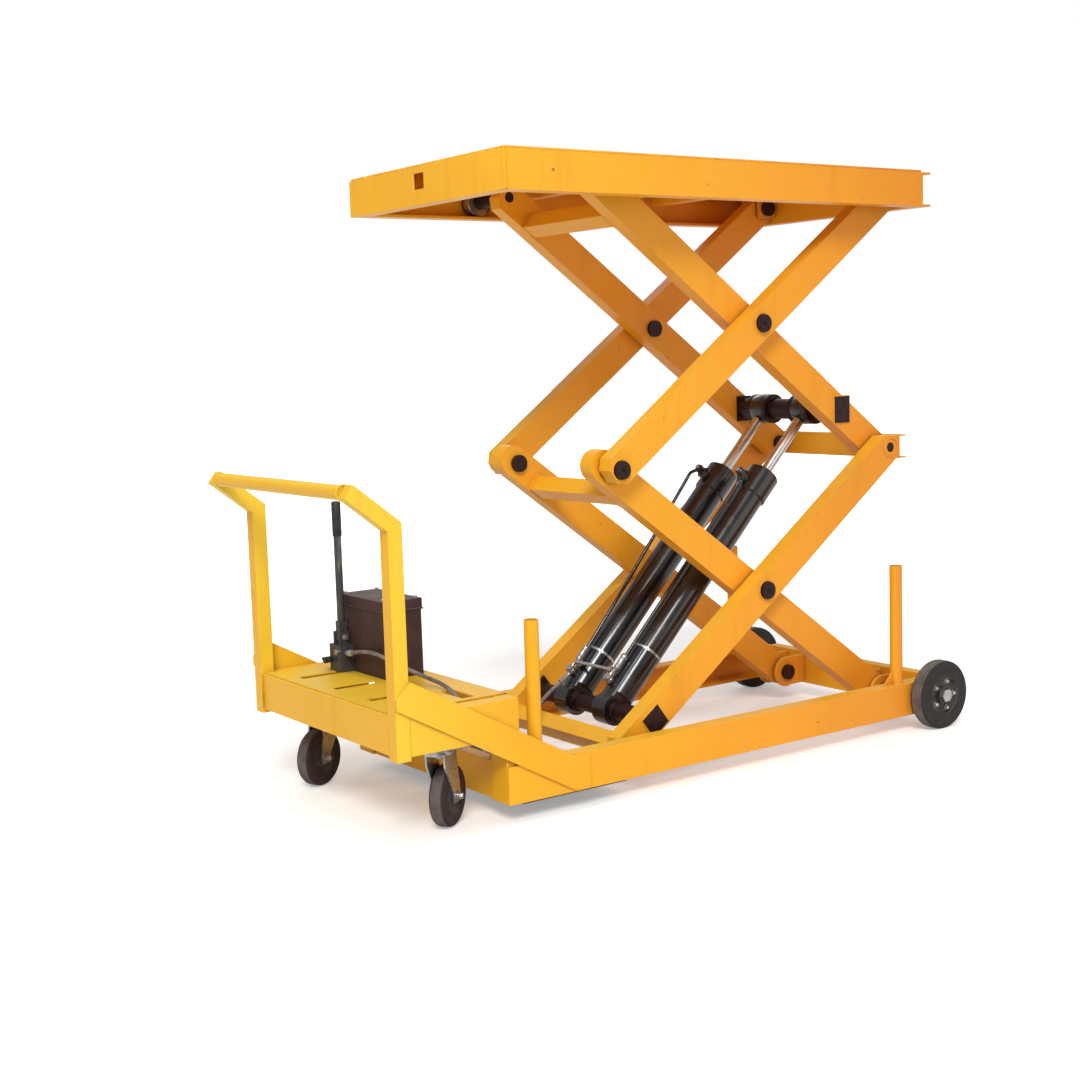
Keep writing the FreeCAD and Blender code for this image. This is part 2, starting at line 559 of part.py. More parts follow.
def build_base_pivots():
    """Paired plates at each lower rear arm end, with their pins."""
    inner = BASE_BRACKET_Y
    outer = INNER_ARM_Y + ARM_WIDTH + ARM_GAP
    hole = pin_hole(FIXED_PIVOT_X, BASE_PIVOT_Z, PIN_R)
    plates = []
    for y in (inner, outer):
        tongue = box(FIXED_PIVOT_X, REAR_CROSS_X, y, y + BRACKET_PLATE, RAIL_BOTTOM_Z + 4, RAIL_TOP_Z)
        disc = cross_rod(FIXED_PIVOT_X, BASE_PIVOT_Z, y, y + BRACKET_PLATE, BRACKET_R)
        plates.append(union([tongue, disc]).cut(hole))
    export("base_pivot_brackets", *both_sides(plates))
    steps = [(inner - 8, outer + BRACKET_PLATE + 8, PIN_R),
             (inner - HEAD_THICKNESS, inner, HEAD_R),
             (inner + BRACKET_PLATE, INNER_ARM_Y - SPACER_INSET, HEAD_R),
             (INNER_ARM_Y + ARM_WIDTH + SPACER_INSET, outer, HEAD_R),
             (outer + BRACKET_PLATE, outer + BRACKET_PLATE + HEAD_THICKNESS, HEAD_R)]
    export("base_pivot_pins", *both_sides([pin(FIXED_PIVOT_X, BASE_PIVOT_Z, steps)]))


def build_rest_posts():
    """Open pipes that the lowered platform rests on; the rear pair has gussets."""
    posts = []
    for x in POST_X:
        post = upright_rod(x, POST_Y, RAIL_TOP_Z, POST_TOP_Z, POST_R)
        if x == POST_X[1]:
            edge = x - POST_R + 1
            gusset = [(edge - GUSSET, RAIL_TOP_Z), (edge, RAIL_TOP_Z), (edge, RAIL_TOP_Z + GUSSET)]
            post = union([post, outline_solid(gusset, POST_Y - 3, POST_Y + 3)])
        posts.append(post.cut(upright_rod(x, POST_Y, RAIL_TOP_Z, POST_TOP_Z, POST_R - POST_WALL)))
    export("rest_posts", *both_sides(posts))


# ---------------------------------------------------------------- pump deck and push handle
def build_deck():
    side = channel_along_x(HANDLE_BACK_X, DECK_REAR_X, DECK_BOTTOM_Z, DECK_FLANGE)
    front = channel_across(DECK_FRONT_X, HANDLE_BACK_X, HANDLE_Y - HANDLE_TUBE / 2, DECK_BOTTOM_Z, DECK_TOP_Z)
    rear = channel_across(DECK_REAR_X, DECK_REAR_X - 40, FLANGE_TIP_Y, DECK_BOTTOM_Z, DECK_TOP_Z)
    front = front.cut(side).cut(mirrored(side))
    export("deck_channels", front, rear, *both_sides([side]))
    half = FLANGE_TIP_Y - 4
    floor = box(DECK_FRONT_X + 6, DECK_REAR_X - 6, -half, half, DECK_TOP_Z, DECK_FLOOR_Z)
    for y in DECK_SLOT_Y:
        floor = floor.cut(box(*DECK_SLOT_X, y - DECK_SLOT / 2, y + DECK_SLOT / 2, DECK_TOP_Z, DECK_FLOOR_Z))
    floor = floor.cut(box(*HOSE_SLOT, DECK_TOP_Z, DECK_FLOOR_Z))
    export("deck_floor", floor)


def handle_leg(half, below, beyond):
    """Bent leg outline: straight up, then out, from below its foot to beyond the grip's centre."""
    dx = GRIP_X - HANDLE_X
    dz = GRIP_Z - HANDLE_BEND_Z
    length = math.hypot(dx, dz)
    slope = (dx / length, dz / length)
    mitre = half * math.tan(math.atan2(slope[0], slope[1]) / 2)
    end = (GRIP_X + beyond * slope[0], GRIP_Z + beyond * slope[1])
    normal = (-slope[1] * half, slope[0] * half)
    return [(HANDLE_X - half, HANDLE_BOTTOM_Z - below), (HANDLE_X + half, HANDLE_BOTTOM_Z - below),
            (HANDLE_X + half, HANDLE_BEND_Z - mitre), (end[0] - normal[0], end[1] - normal[1]),
            (end[0] + normal[0], end[1] + normal[1]), (HANDLE_X - half, HANDLE_BEND_Z + mitre)]


def build_handle():
    half = HANDLE_TUBE / 2
    inside = half - HANDLE_WALL
    upright = outline_solid(handle_leg(half, 0, GRIP_COVER), HANDLE_Y - half, HANDLE_Y + half)
    hollow = handle_leg(inside, 1, GRIP_COVER - HANDLE_WALL)
    upright = upright.cut(outline_solid(hollow, HANDLE_Y - inside, HANDLE_Y + inside))
    export("handle_upright_far", upright)
    export("handle_upright_near", mirrored(upright))
    reach = HANDLE_Y - half
    grip = cross_rod(GRIP_X, GRIP_Z, -reach, reach, GRIP_R)
    export("handle_grip_bar", grip.cut(cross_rod(GRIP_X, GRIP_Z, -reach, reach, GRIP_R - HANDLE_WALL)))


# ---------------------------------------------------------------- wheels
def build_rear_wheels():
    y0, y1 = WHEEL_Y
    axle = union([cross_rod(WHEEL_X, WHEEL_R, FLANGE_TIP_Y, y1 + 8, AXLE_R),
                  cross_rod(WHEEL_X, WHEEL_R, FRAME_HALF_WIDTH, y0 - 1.5, AXLE_R + 9)])
    nut_outline = []
    for i in range(6):
        turn = math.radians(60 * i)
        nut_outline.append((WHEEL_X + AXLE_NUT_R * math.cos(turn), WHEEL_R + AXLE_NUT_R * math.sin(turn)))
    nut = outline_solid(nut_outline, y1 + 4.5, y1 + 12.5)
    export("rear_axles", *both_sides([union([axle, nut])]))
    tyre = cross_rod(WHEEL_X, WHEEL_R, y0, y1, WHEEL_R)
    tyre = tyre.makeFillet(TYRE_SHOULDER, [tyre.Edges[0], tyre.Edges[2]])
    tyre = tyre.cut(cross_rod(WHEEL_X, WHEEL_R, y0, y1, HUB_R))
    hub = union([cross_rod(WHEEL_X, WHEEL_R, y0 + 6, y1 - 6, HUB_R),
                 cross_rod(WHEEL_X, WHEEL_R, y0 - 1, y1 + 3.5, AXLE_R + 14)])
    hub = hub.cut(cross_rod(WHEEL_X, WHEEL_R, 0, y1 + 20, AXLE_R + RUNNING))
    for node, piece in (("rear_tyre", tyre), ("rear_hub", hub)):
        export(node + "_far", piece)
        export(node + "_near", mirrored(piece))


def caster_pieces():
    """Fork and wheel drawn with the kingpin on the Z axis and the wheel trailing along +X."""
    plate_y = CASTER_WIDTH / 2 + FORK_GAP
    outside = plate_y + FORK_PLATE
    top = CASTER_PLATE_Z - 0.5
    crown = union([upright_rod(0, 0, top - 14, top, 33.0),
                   box(-34, 40, -outside, outside, top - 22, top - 14)])
    leg_outline = [(-34, top - 22), (40, top - 22), (CASTER_TRAIL + 20, CASTER_R + 12),
                   (CASTER_TRAIL + 16, CASTER_R - 16), (CASTER_TRAIL - 16, CASTER_R - 16),
                   (CASTER_TRAIL - 22, CASTER_R + 12), (-30, top - 50)]
    leg = outline_solid(leg_outline, plate_y, outside)
    axle = union([cross_rod(CASTER_TRAIL, CASTER_R, -outside, outside, CASTER_AXLE_R),
                  cross_rod(CASTER_TRAIL, CASTER_R, outside, outside + 6, 11.0),
                  cross_rod(CASTER_TRAIL, CASTER_R, -outside - 6, -outside, 11.0)])
    fork = union([crown, leg, mirrored(leg), axle])
    fork = fork.cut(upright_rod(0, 0, top - 30, top, KINGPIN_R + RUNNING))
    half = CASTER_WIDTH / 2
    wheel = cross_rod(CASTER_TRAIL, CASTER_R, -half, half, CASTER_R)
    wheel = wheel.makeFillet(CASTER_SHOULDER, [wheel.Edges[0], wheel.Edges[2]])
    wheel = wheel.cut(cross_rod(CASTER_TRAIL, CASTER_R, -half, half, CASTER_AXLE_R + RUNNING))
    return fork, wheel


def build_casters():
    fork, wheel = caster_pieces()
    for name, side in (("near", -1), ("far", 1)):
        for node, piece in (("caster_fork_", fork), ("caster_wheel_", wheel)):
            moved = piece.copy()
            moved.rotate(V(0, 0, 0), V(0, 0, 1), CASTER_TURN[name])
            moved.translate(V(CASTER_X, side * CASTER_Y, 0))
            export(node + name, moved)
    plate = box(CASTER_X - 55, CASTER_X + 55, CASTER_Y - 58, CASTER_Y + 58, CASTER_PLATE_Z, DECK_BOTTOM_Z)
    bolts = []
    for x in (CASTER_X - CASTER_BOLT_REACH[0], CASTER_X + CASTER_BOLT_REACH[0]):
        for y in (CASTER_Y - CASTER_BOLT_REACH[1], CASTER_Y + CASTER_BOLT_REACH[1]):
            shank = upright_rod(x, y, CASTER_PLATE_Z, DECK_BOTTOM_Z, CASTER_BOLT_R)
            plate = plate.cut(shank)
            bolts.append(union([upright_rod(x, y, CASTER_PLATE_Z - 7, CASTER_PLATE_Z, 8.5), shank]))
    foot = CASTER_PLATE_Z - 32
    kingpin = union([plate, upright_rod(CASTER_X, CASTER_Y, foot, CASTER_PLATE_Z, KINGPIN_R),
                     upright_rod(CASTER_X, CASTER_Y, foot, foot + 8.5, KINGPIN_R + 5)])
    export("caster_plates", *both_sides([kingpin] + bolts))


# ---------------------------------------------------------------- hand pump
def build_pump():
    x0, x1, y0, y1 = TANK
    tank = box(x0, x1, y0, y1, DECK_FLOOR_Z, TANK_TOP_Z)
    tank = tank.cut(box(x0 + TANK_WALL, x1 - TANK_WALL, y0 + TANK_WALL, y1 - TANK_WALL,
                        DECK_FLOOR_Z + TANK_WALL, TANK_TOP_Z))
    export("pump_tank", tank)
    rim_z = TANK_TOP_Z - LID_DEPTH
    lid = box(x0 - LID_WALL, x1 + LID_WALL, y0 - LID_WALL, y1 + LID_WALL, rim_z, TANK_TOP_Z + 3)
    lid = lid.cut(box(x0, x1, y0, y1, rim_z, TANK_TOP_Z))
    middle = ((x0 + x1) / 2, (y0 + y1) / 2 - 60)
    lid = union([lid, upright_rod(*middle, TANK_TOP_Z + 3, TANK_TOP_Z + 12, 20.0),
                 upright_rod(*middle, TANK_TOP_Z + 12, TANK_TOP_Z + 26, 16.0)])
    export("pump_lid", lid)

    body = box(LEVER_X - 22, x0, LEVER_Y - 30, LEVER_Y + 34, DECK_FLOOR_Z, PUMP_BODY_TOP_Z)
    lugs = [box(LEVER_X - 17, LEVER_X + 14, y, y + 6, PUMP_BODY_TOP_Z, LEVER_PIVOT_Z + 15)
            for y in (LEVER_Y - 18, LEVER_Y + 12)]
    pivot = cross_rod(LEVER_X, LEVER_PIVOT_Z, LEVER_Y - 21, LEVER_Y + 21, LEVER_PIN_R)
    stem = rod(V(LEVER_X - 32, KNOB_Y, KNOB_Z), V(1, 0, 0), KNOB_STEM_R, 14.0)
    export("pump_body", union([body, *lugs, pivot, stem]))

    socket_top = LEVER_PIVOT_Z + SOCKET_REACH
    socket = box(LEVER_X - SOCKET_HALF, LEVER_X + SOCKET_HALF, LEVER_Y - 11, LEVER_Y + 11,
                 LEVER_PIVOT_Z - 10, socket_top)
    bar = upright_rod(LEVER_X, LEVER_Y, socket_top, LEVER_TOP_Z, LEVER_BAR_R)
    grip = upright_rod(LEVER_X, LEVER_Y, LEVER_TOP_Z - LEVER_GRIP[1], LEVER_TOP_Z, LEVER_GRIP[0])
    lever = union([socket, bar, grip])
    export("pump_lever", lever.cut(pin_hole(LEVER_X, LEVER_PIVOT_Z, LEVER_PIN_R + RUNNING)))

    knob_x = LEVER_X - 48
    knob = union([rod(V(knob_x, KNOB_Y, KNOB_Z), V(1, 0, 0), 9.0, 24.0),
                  cross_rod(knob_x + 8, KNOB_Z, KNOB_Y - 22, KNOB_Y + 22, 4.5)])
    bore = rod(V(LEVER_X - 33, KNOB_Y, KNOB_Z), V(1, 0, 0), KNOB_STEM_R + RUNNING, 20.0)
    export("release_knob", knob.cut(bore))


# ---------------------------------------------------------------- hoses
def hose(points, radius):
    """Tube along straight runs joined by tangent arcs; prints its tightest arc and its length."""
    corners = [V(*point) for point in points]
    edges = []
    radii = []
    start = corners[0]
    for before, corner, after in zip(corners, corners[1:], corners[2:]):
        inward = (before - corner).normalize()
        outward = (after - corner).normalize()
        turn = math.pi - inward.getAngle(outward)
        reach = 0.45 * min(before.distanceToPoint(corner), after.distanceToPoint(corner))
        radii.append(reach / math.tan(turn / 2))
        enter = corner + inward * reach
        leave = corner + outward * reach
        middle = corner + (inward + outward).normalize() * (
            math.hypot(reach, radii[-1]) - radii[-1])
        edges.append(Part.LineSegment(start, enter).toShape())
        edges.append(Part.Arc(enter, middle, leave).toShape())
        start = leave
    edges.append(Part.LineSegment(start, corners[-1]).toShape())
    path = Part.Wire(edges)
    direction = (corners[1] - corners[0]).normalize()
    profile = Part.Wire(Part.makeCircle(radius, corners[0], direction))
    tube = path.makePipeShell([profile], True, False)
    ratio = tube.Volume / (math.pi * radius ** 2 * path.Length)
    print("hose length %.0f, radii from %.0f to %.0f, volume ratio %.4f"
          % (path.Length, min(radii), max(radii), ratio))
    return tube


def fitting(tip, toward, radius, length):
    """Round ferrule from a hose's end towards its port."""
    return rod(V(*tip), V(*toward), radius, length)


def steel_pipe(points, radius):
    """Square-cornered pipe with a ball at each corner."""
    pieces = []
    for start, end in zip(points, points[1:]):
        run = V(*end) - V(*start)
        pieces.append(rod(V(*start), run, radius, run.Length))
    pieces += [Part.makeSphere(radius + 2, V(*corner)) for corner in points[1:-1]]
    return union(pieces)


def build_hoses():
    export("pump_hose", hose(PUMP_HOSE, HOSE_R))
    export("cylinder_hose", hose(CYLINDER_HOSE, HOSE_R))
    bulkhead_x = PUMP_HOSE[-1][0] + FERRULE_LENGTH
    y, z = PUMP_HOSE[-1][1:]
    end_x, end_y, end_z = CYLINDER_HOSE[0]
    outlet = PUMP_HOSE[0]
    ferrules = [fitting(outlet, (0, 1, 0), FERRULE_R, LEVER_Y - 30 - outlet[1]),
                union([fitting(PUMP_HOSE[-1], (1, 0, 0), FERRULE_R, FERRULE_LENGTH),
                       box(bulkhead_x, bulkhead_x + 6, y - 20, y + 20, RAIL_TOP_Z, z + 20)])]
    drop_x = end_x - 22
    pipe = steel_pipe([(bulkhead_x + 6, y, z), (drop_x, y, z), (drop_x, y, end_z), (drop_x, end_y, end_z),
                       (end_x, end_y, end_z)], PIPE_R)
    stand = box(drop_x - 14, drop_x + 14, end_y - 14, end_y + 14, RAIL_BOTTOM_Z, end_z + 14).cut(pipe)
    export("hose_fittings", *ferrules, pipe, stand)


# ---------------------------------------------------------------- platform
def build_platform():
    front_inside = PLATFORM_FRONT_X + PLATE_THICKNESS
    side = channel_along_x(front_inside, PLATFORM_REAR_X, PLATFORM_BOTTOM_Z, CHANNEL_FLANGE)
    side_hole = cross_rod(MARK_HOLE_X, PLATFORM_PIVOT_Z + 2, 0, FRAME_HALF_WIDTH, 5.0)
    far = side.cut(side_hole)
    export("platform_side_channel_far", far)
    export("platform_side_channel_near", mirrored(far))

    front = union([box(PLATFORM_FRONT_X, front_inside, -FRAME_HALF_WIDTH, FRAME_HALF_WIDTH,
                       PLATFORM_BOTTOM_Z, PLATFORM_FRAME_TOP_Z),
                   channel_across(PLATFORM_FRONT_X, PLATFORM_FRONT_X + 45, FLANGE_TIP_Y,
                                  PLATFORM_BOTTOM_Z, PLATFORM_FRAME_TOP_Z)])
    front = front.cut(box(PLATFORM_FRONT_X, front_inside, *FRONT_HOLE_Y, *FRONT_HOLE_Z))
    rear = channel_across(PLATFORM_REAR_X, PLATFORM_REAR_X + 40, FRAME_HALF_WIDTH,
                          PLATFORM_BOTTOM_Z, PLATFORM_FRAME_TOP_Z)
    joists = [channel_across(x, x + 40, FLANGE_TIP_Y, PLATFORM_PIVOT_Z + 6, PLATFORM_FRAME_TOP_Z, 5.0, 5.0)
              for x in JOIST_X]
    export("platform_cross_channels", front, rear, *joists)
    export("platform_top", box(PLATFORM_FRONT_X + 4, PLATFORM_REAR_X + 2, 4 - FRAME_HALF_WIDTH,
                               FRAME_HALF_WIDTH - 4, PLATFORM_FRAME_TOP_Z,
                               PLATFORM_FRAME_TOP_Z + PLATE_THICKNESS))

    hole = pin_hole(FIXED_PIVOT_X, PLATFORM_PIVOT_Z, PIN_R + RUNNING)
    plates = []
    for y in (OUTER_ARM_Y - BRACKET_GAP - BRACKET_PLATE, OUTER_ARM_Y + ARM_WIDTH + BRACKET_GAP):
        plate = box(FIXED_PIVOT_X - 36, PLATFORM_REAR_X, y, y + BRACKET_PLATE,
                    PLATFORM_PIVOT_Z - 30, PLATFORM_FRAME_TOP_Z)
        plates.append(plate.cut(hole))
    export("platform_pivot_brackets", *both_sides(plates))


def main():
    os.makedirs("parts", exist_ok=True)
    build_arms()
    build_cross_members()
    build_cylinder_mounts()
    build_cylinders()
    build_pins_and_rollers()
    build_base_rails()
    build_base_cross_members()
    build_risers()
    build_struts()
    build_base_pivots()
    build_rest_posts()
    build_deck()
    build_handle()
    build_rear_wheels()
    build_casters()
    build_pump()
    build_hoses()
    build_platform()


main()
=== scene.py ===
"""Looks of a mobile double scissor lift table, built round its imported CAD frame.

Every visible piece here is built in the row frame, in metres, and rides on one of the CAD bodies.
"""
import bpy
import json
import math
import random
from mathutils import Matrix, Vector


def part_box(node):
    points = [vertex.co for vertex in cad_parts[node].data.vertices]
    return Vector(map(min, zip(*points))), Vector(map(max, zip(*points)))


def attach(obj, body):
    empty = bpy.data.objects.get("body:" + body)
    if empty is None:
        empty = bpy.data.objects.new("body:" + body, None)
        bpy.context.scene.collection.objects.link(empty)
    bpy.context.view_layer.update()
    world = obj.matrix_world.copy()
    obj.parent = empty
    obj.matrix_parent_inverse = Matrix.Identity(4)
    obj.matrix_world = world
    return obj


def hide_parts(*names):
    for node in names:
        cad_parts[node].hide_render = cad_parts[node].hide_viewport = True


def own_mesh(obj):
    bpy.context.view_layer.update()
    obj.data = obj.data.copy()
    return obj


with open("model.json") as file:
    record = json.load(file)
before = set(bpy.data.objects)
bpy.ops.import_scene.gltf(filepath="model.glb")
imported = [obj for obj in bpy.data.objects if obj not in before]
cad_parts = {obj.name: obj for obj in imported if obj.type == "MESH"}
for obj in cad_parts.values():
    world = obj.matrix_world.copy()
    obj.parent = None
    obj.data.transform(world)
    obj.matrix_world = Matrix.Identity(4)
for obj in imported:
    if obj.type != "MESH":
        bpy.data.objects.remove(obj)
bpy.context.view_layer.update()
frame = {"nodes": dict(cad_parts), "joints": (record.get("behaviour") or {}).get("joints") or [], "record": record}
random.seed(7)

# ---------------------------------------------------------------- places, from the CAD frame
GLAND_R = 0.050
ROD_EYE_R = 0.045
JOINTS = {joint["name"]: joint for joint in frame["joints"]}


def pivot(name):
    return Vector(JOINTS[name]["pos_m"])


def low(node):
    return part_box(node)[0]


def high(node):
    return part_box(node)[1]


REAR = pivot("lift")
KNEE = pivot("upper_knee")
LOWER_MIDDLE = pivot("lower_scissor")
UPPER_MIDDLE = pivot("upper_scissor")
REAR_JOINT = Vector((REAR.x, 0, KNEE.z))
BASE_ROLLER = pivot("base_roller_roll")
PLATFORM_ROLLER = pivot("platform_roller_roll")
RAMS_FOOT = pivot("cylinder_swing")
RAM_AXIS = Vector(JOINTS["rod_slide"]["axis"]).normalized()
RAM_ACROSS = Vector((-RAM_AXIS.z, 0, RAM_AXIS.x))
SLOPE = math.atan2(KNEE.z - REAR.z, REAR.x - KNEE.x)
RISING = Vector((math.cos(SLOPE), 0, math.sin(SLOPE)))
FALLING = Vector((math.cos(SLOPE), 0, -math.sin(SLOPE)))
INNER_FACE = low("lower_inner_arm_far").y
INNER_ARM_OUT = high("lower_inner_arm_far").y
OUTER_FACE = low("lower_outer_arm_far").y
OUTER_ARM_OUT = high("lower_outer_arm_far").y
RAM_Y = high("cylinder_gland_heads").y - GLAND_R
SIDES = (-1, 1)
UP = Vector((0, 0, 1))
ACROSS = Vector((0, 1, 0))
ALONG = Vector((1, 0, 0))


# ---------------------------------------------------------------- materials
class Surface:
    """A Principled material whose colour, roughness and bump come from procedural nodes."""

    def __init__(self, name, **fixed):
        self.material = bpy.data.materials.new(name)
        self.material.use_nodes = True
        self.tree = self.material.node_tree
        self.shader = self.tree.nodes["Principled BSDF"]
        for socket, value in fixed.items():
            self.shader.inputs[socket.replace("_", " ")].default_value = value
        self.place = self.node("ShaderNodeTexCoord").outputs["Object"]

    def node(self, kind, **settings):
        made = self.tree.nodes.new(kind)
        for key, value in settings.items():
            setattr(made, key, value)
        return made

    def feed(self, socket, value):
        """Link an output to a socket, or set the socket to a plain value."""
        if isinstance(value, bpy.types.NodeSocket):
            self.tree.links.new(value, socket)
        else:
            socket.default_value = value

    def set(self, socket, value):
        self.feed(self.shader.inputs[socket], value)

    def stretched(self, stretch, turn=(0, 0, 0)):
        mapping = self.node("ShaderNodeMapping")
        self.feed(mapping.inputs["Vector"], self.place)
        mapping.inputs["Scale"].default_value = stretch
        mapping.inputs["Rotation"].default_value = turn
        return mapping.outputs["Vector"]

    def noise(self, scale, detail=4.0, roughness=0.55, vector=None):
        made = self.node("ShaderNodeTexNoise")
        self.feed(made.inputs["Vector"], vector or self.place)
        made.inputs["Scale"].default_value = scale
        made.inputs["Detail"].default_value = detail
        made.inputs["Roughness"].default_value = roughness
        return made.outputs["Fac"]

    def spread(self, value, low_in, high_in, low_out=0.0, high_out=1.0):
        """Map a range of a value to another range, clamped."""
        made = self.node("ShaderNodeMapRange")
        self.feed(made.inputs["Value"], value)
        limits = {"From Min": low_in, "From Max": high_in, "To Min": low_out, "To Max": high_out}
        for socket, number in limits.items():
            made.inputs[socket].default_value = number
        return made.outputs["Result"]

    def maths(self, operation, first, second=0.0):
        made = self.node("ShaderNodeMath", operation=operation)
        self.feed(made.inputs[0], first)
        self.feed(made.inputs[1], second)
        return made.outputs["Value"]

    def axis(self, name):
        made = self.node("ShaderNodeSeparateXYZ")
        self.feed(made.inputs["Vector"], self.place)
        return made.outputs[name]

    def mix(self, factor, first, second):
        made = self.node("ShaderNodeMix", data_type="RGBA")
        self.feed(made.inputs["Factor"], factor)
        self.feed(made.inputs[6], colour(first) if isinstance(first, tuple) else first)
        self.feed(made.inputs[7], colour(second) if isinstance(second, tuple) else second)
        return made.outputs[2]

    def ramp(self, value, stops):
        made = self.node("ShaderNodeValToRGB")
        self.feed(made.inputs["Fac"], value)
        elements = made.color_ramp.elements
        while len(elements) < len(stops):
            elements.new(1.0)
        for element, (place, tint) in zip(elements, stops):
            element.position = place
            element.color = colour(tint)
        return made.outputs["Color"]

    def own_normal(self):
        """The way a face looks, in its piece's own frame, so that it turns with the piece."""
        face = self.node("ShaderNodeNewGeometry")
        turned = self.node("ShaderNodeVectorTransform", vector_type="NORMAL",
                           convert_from="WORLD", convert_to="OBJECT")
        self.feed(turned.inputs["Vector"], face.outputs["Normal"])
        return turned.outputs["Vector"]

    def facing(self, axis):
        """1 on faces that look along the axis, 0 on those square to it, -1 on the opposite ones."""
        normal = self.node("ShaderNodeSeparateXYZ")
        self.feed(normal.inputs["Vector"], self.own_normal())
        return normal.outputs[axis]

    def edges(self, radius):
        """About 1 where an edge or corner lies within radius, 0 on flats."""
        rounded = self.node("ShaderNodeBevel", samples=4)
        rounded.inputs["Radius"].default_value = radius
        plain = self.node("ShaderNodeNewGeometry")
        dot = self.node("ShaderNodeVectorMath", operation="DOT_PRODUCT")
        self.feed(dot.inputs[0], rounded.outputs["Normal"])
        self.feed(dot.inputs[1], plain.outputs["Normal"])
        return self.spread(dot.outputs["Value"], 0.98, 0.80)

    def occlusion_shade(self, distance):
        """About 1 deep in corners, 0 in the open, from ambient occlusion: a mask for painted shade."""
        hidden = self.node("ShaderNodeAmbientOcclusion", samples=4)
        hidden.inputs["Distance"].default_value = distance
        return self.spread(hidden.outputs["AO"], 0.85, 0.25)

    def bump(self, height, strength, distance=0.001):
        made = self.node("ShaderNodeBump")
        made.inputs["Strength"].default_value = strength
        made.inputs["Distance"].default_value = distance
        self.feed(made.inputs["Height"], height)
        self.set("Normal", made.outputs["Normal"])


def colour(rgb):
    return (*rgb, 1.0)


# The first four tones are lit and shaded copies of one yellow-orange paint, used for painted light and painted
# shade on the enamel.
LIT_LEMON = (0.98, 0.680, 0.050)
AMBER = (0.97, 0.480, 0.020)
ORANGE = (0.93, 0.385, 0.024)
SHADED_DEEP_ORANGE = (0.80, 0.290, 0.022)
PAINT_SHADE = (0.50, 0.16, 0.012)
PRIMER = (0.20, 0.07, 0.035)
BARE_STEEL = (0.22, 0.20, 0.18)


def yellow_enamel():
    """Sprayed enamel, from lemon at the handle to deep orange at the rear, and amber in front: painted light and
    shade, like the lemon on faces that look up.

    It has a cloudy tone, orange peel, rubbed edges and a little dirt with painted shade in the corners.
    """
    s = Surface("yellow_enamel", Coat_Weight=0.08, Coat_Roughness=0.16, Specular_IOR_Level=0.22)
    # painted light and shade: lighter and yellower towards the handle, darker and more orange towards the rear
    tone = s.ramp(s.spread(s.axis("X"), -1.0, 0.9),
                  ((0.0, LIT_LEMON), (0.22, AMBER), (0.68, ORANGE), (1.0, SHADED_DEEP_ORANGE)))
    # painted light: faces that look up are made lighter, towards lemon
    tone = s.mix(s.spread(s.facing("Z"), 0.35, 0.95, 0.0, 0.45), tone, LIT_LEMON)
    # painted light and shade: faces that look to the front are turned towards amber
    tone = s.mix(s.spread(s.facing("X"), -0.5, -0.95, 0.0, 0.75), tone, AMBER)
    cloud = s.spread(s.noise(2.6, 5.0), 0.30, 0.72, 0.0, 0.35)
    tone = s.mix(cloud, tone, s.mix(0.35, tone, PAINT_SHADE))
    streak = s.spread(s.noise(5.0, 6.0, 0.6, s.stretched((2.2, 2.2, 0.35))), 0.56, 0.78, 0.0, 0.22)
    tone = s.mix(streak, tone, PAINT_SHADE)
    # dirt and painted shade: an ambient-occlusion mask, broken up by noise, darkens corners and crevices
    dirt_and_shade = s.maths("MULTIPLY", s.occlusion_shade(0.035), s.spread(s.noise(14.0, 5.0), 0.25, 0.70, 0.15, 0.85))
    tone = s.mix(s.maths("MULTIPLY", dirt_and_shade, 0.75), tone, (0.16, 0.055, 0.012))
    rub = s.maths("MULTIPLY", s.edges(0.0035), s.spread(s.noise(38.0, 6.0, 0.7), 0.50, 0.62))
    chips = s.spread(s.noise(75.0, 3.0, 0.5), 0.745, 0.765)
    worn = s.maths("MAXIMUM", rub, chips)
    bare = s.mix(s.spread(s.noise(120.0), 0.45, 0.55), PRIMER, BARE_STEEL)
    s.set("Base Color", s.mix(s.maths("MULTIPLY", worn, 0.8), tone, bare))
    s.set("Roughness", s.maths("ADD", s.spread(s.noise(9.0, 5.0), 0.3, 0.7, 0.30, 0.46),
                               s.maths("MULTIPLY", dirt_and_shade, 0.25)))
    peel = s.noise(420.0, 2.0)
    relief = s.maths("SUBTRACT", s.maths("MULTIPLY", peel, 0.35), s.maths("MULTIPLY", worn, 0.8))
    s.bump(s.maths("ADD", relief, s.noise(24.0, 2.0)), 0.22, 0.0006)
    return s.material


def deck_plate_paint():
    """Dark, scuffed anti-slip paint."""
    s = Surface("dark_plate_paint", Specular_IOR_Level=0.3)
    dust = s.spread(s.noise(5.0, 6.0), 0.42, 0.72)
    tone = s.mix(dust, (0.035, 0.030, 0.030), (0.12, 0.10, 0.085))
    scuffs = s.spread(s.noise(30.0, 4.0, 0.6, s.stretched((0.2, 3.0, 1.0))), 0.62, 0.70, 0.0, 0.5)
    s.set("Base Color", s.mix(scuffs, tone, (0.20, 0.18, 0.16)))
    s.set("Roughness", s.spread(s.noise(12.0), 0.3, 0.7, 0.55, 0.8))
    s.bump(s.noise(260.0, 3.0), 0.35, 0.0008)
    return s.material


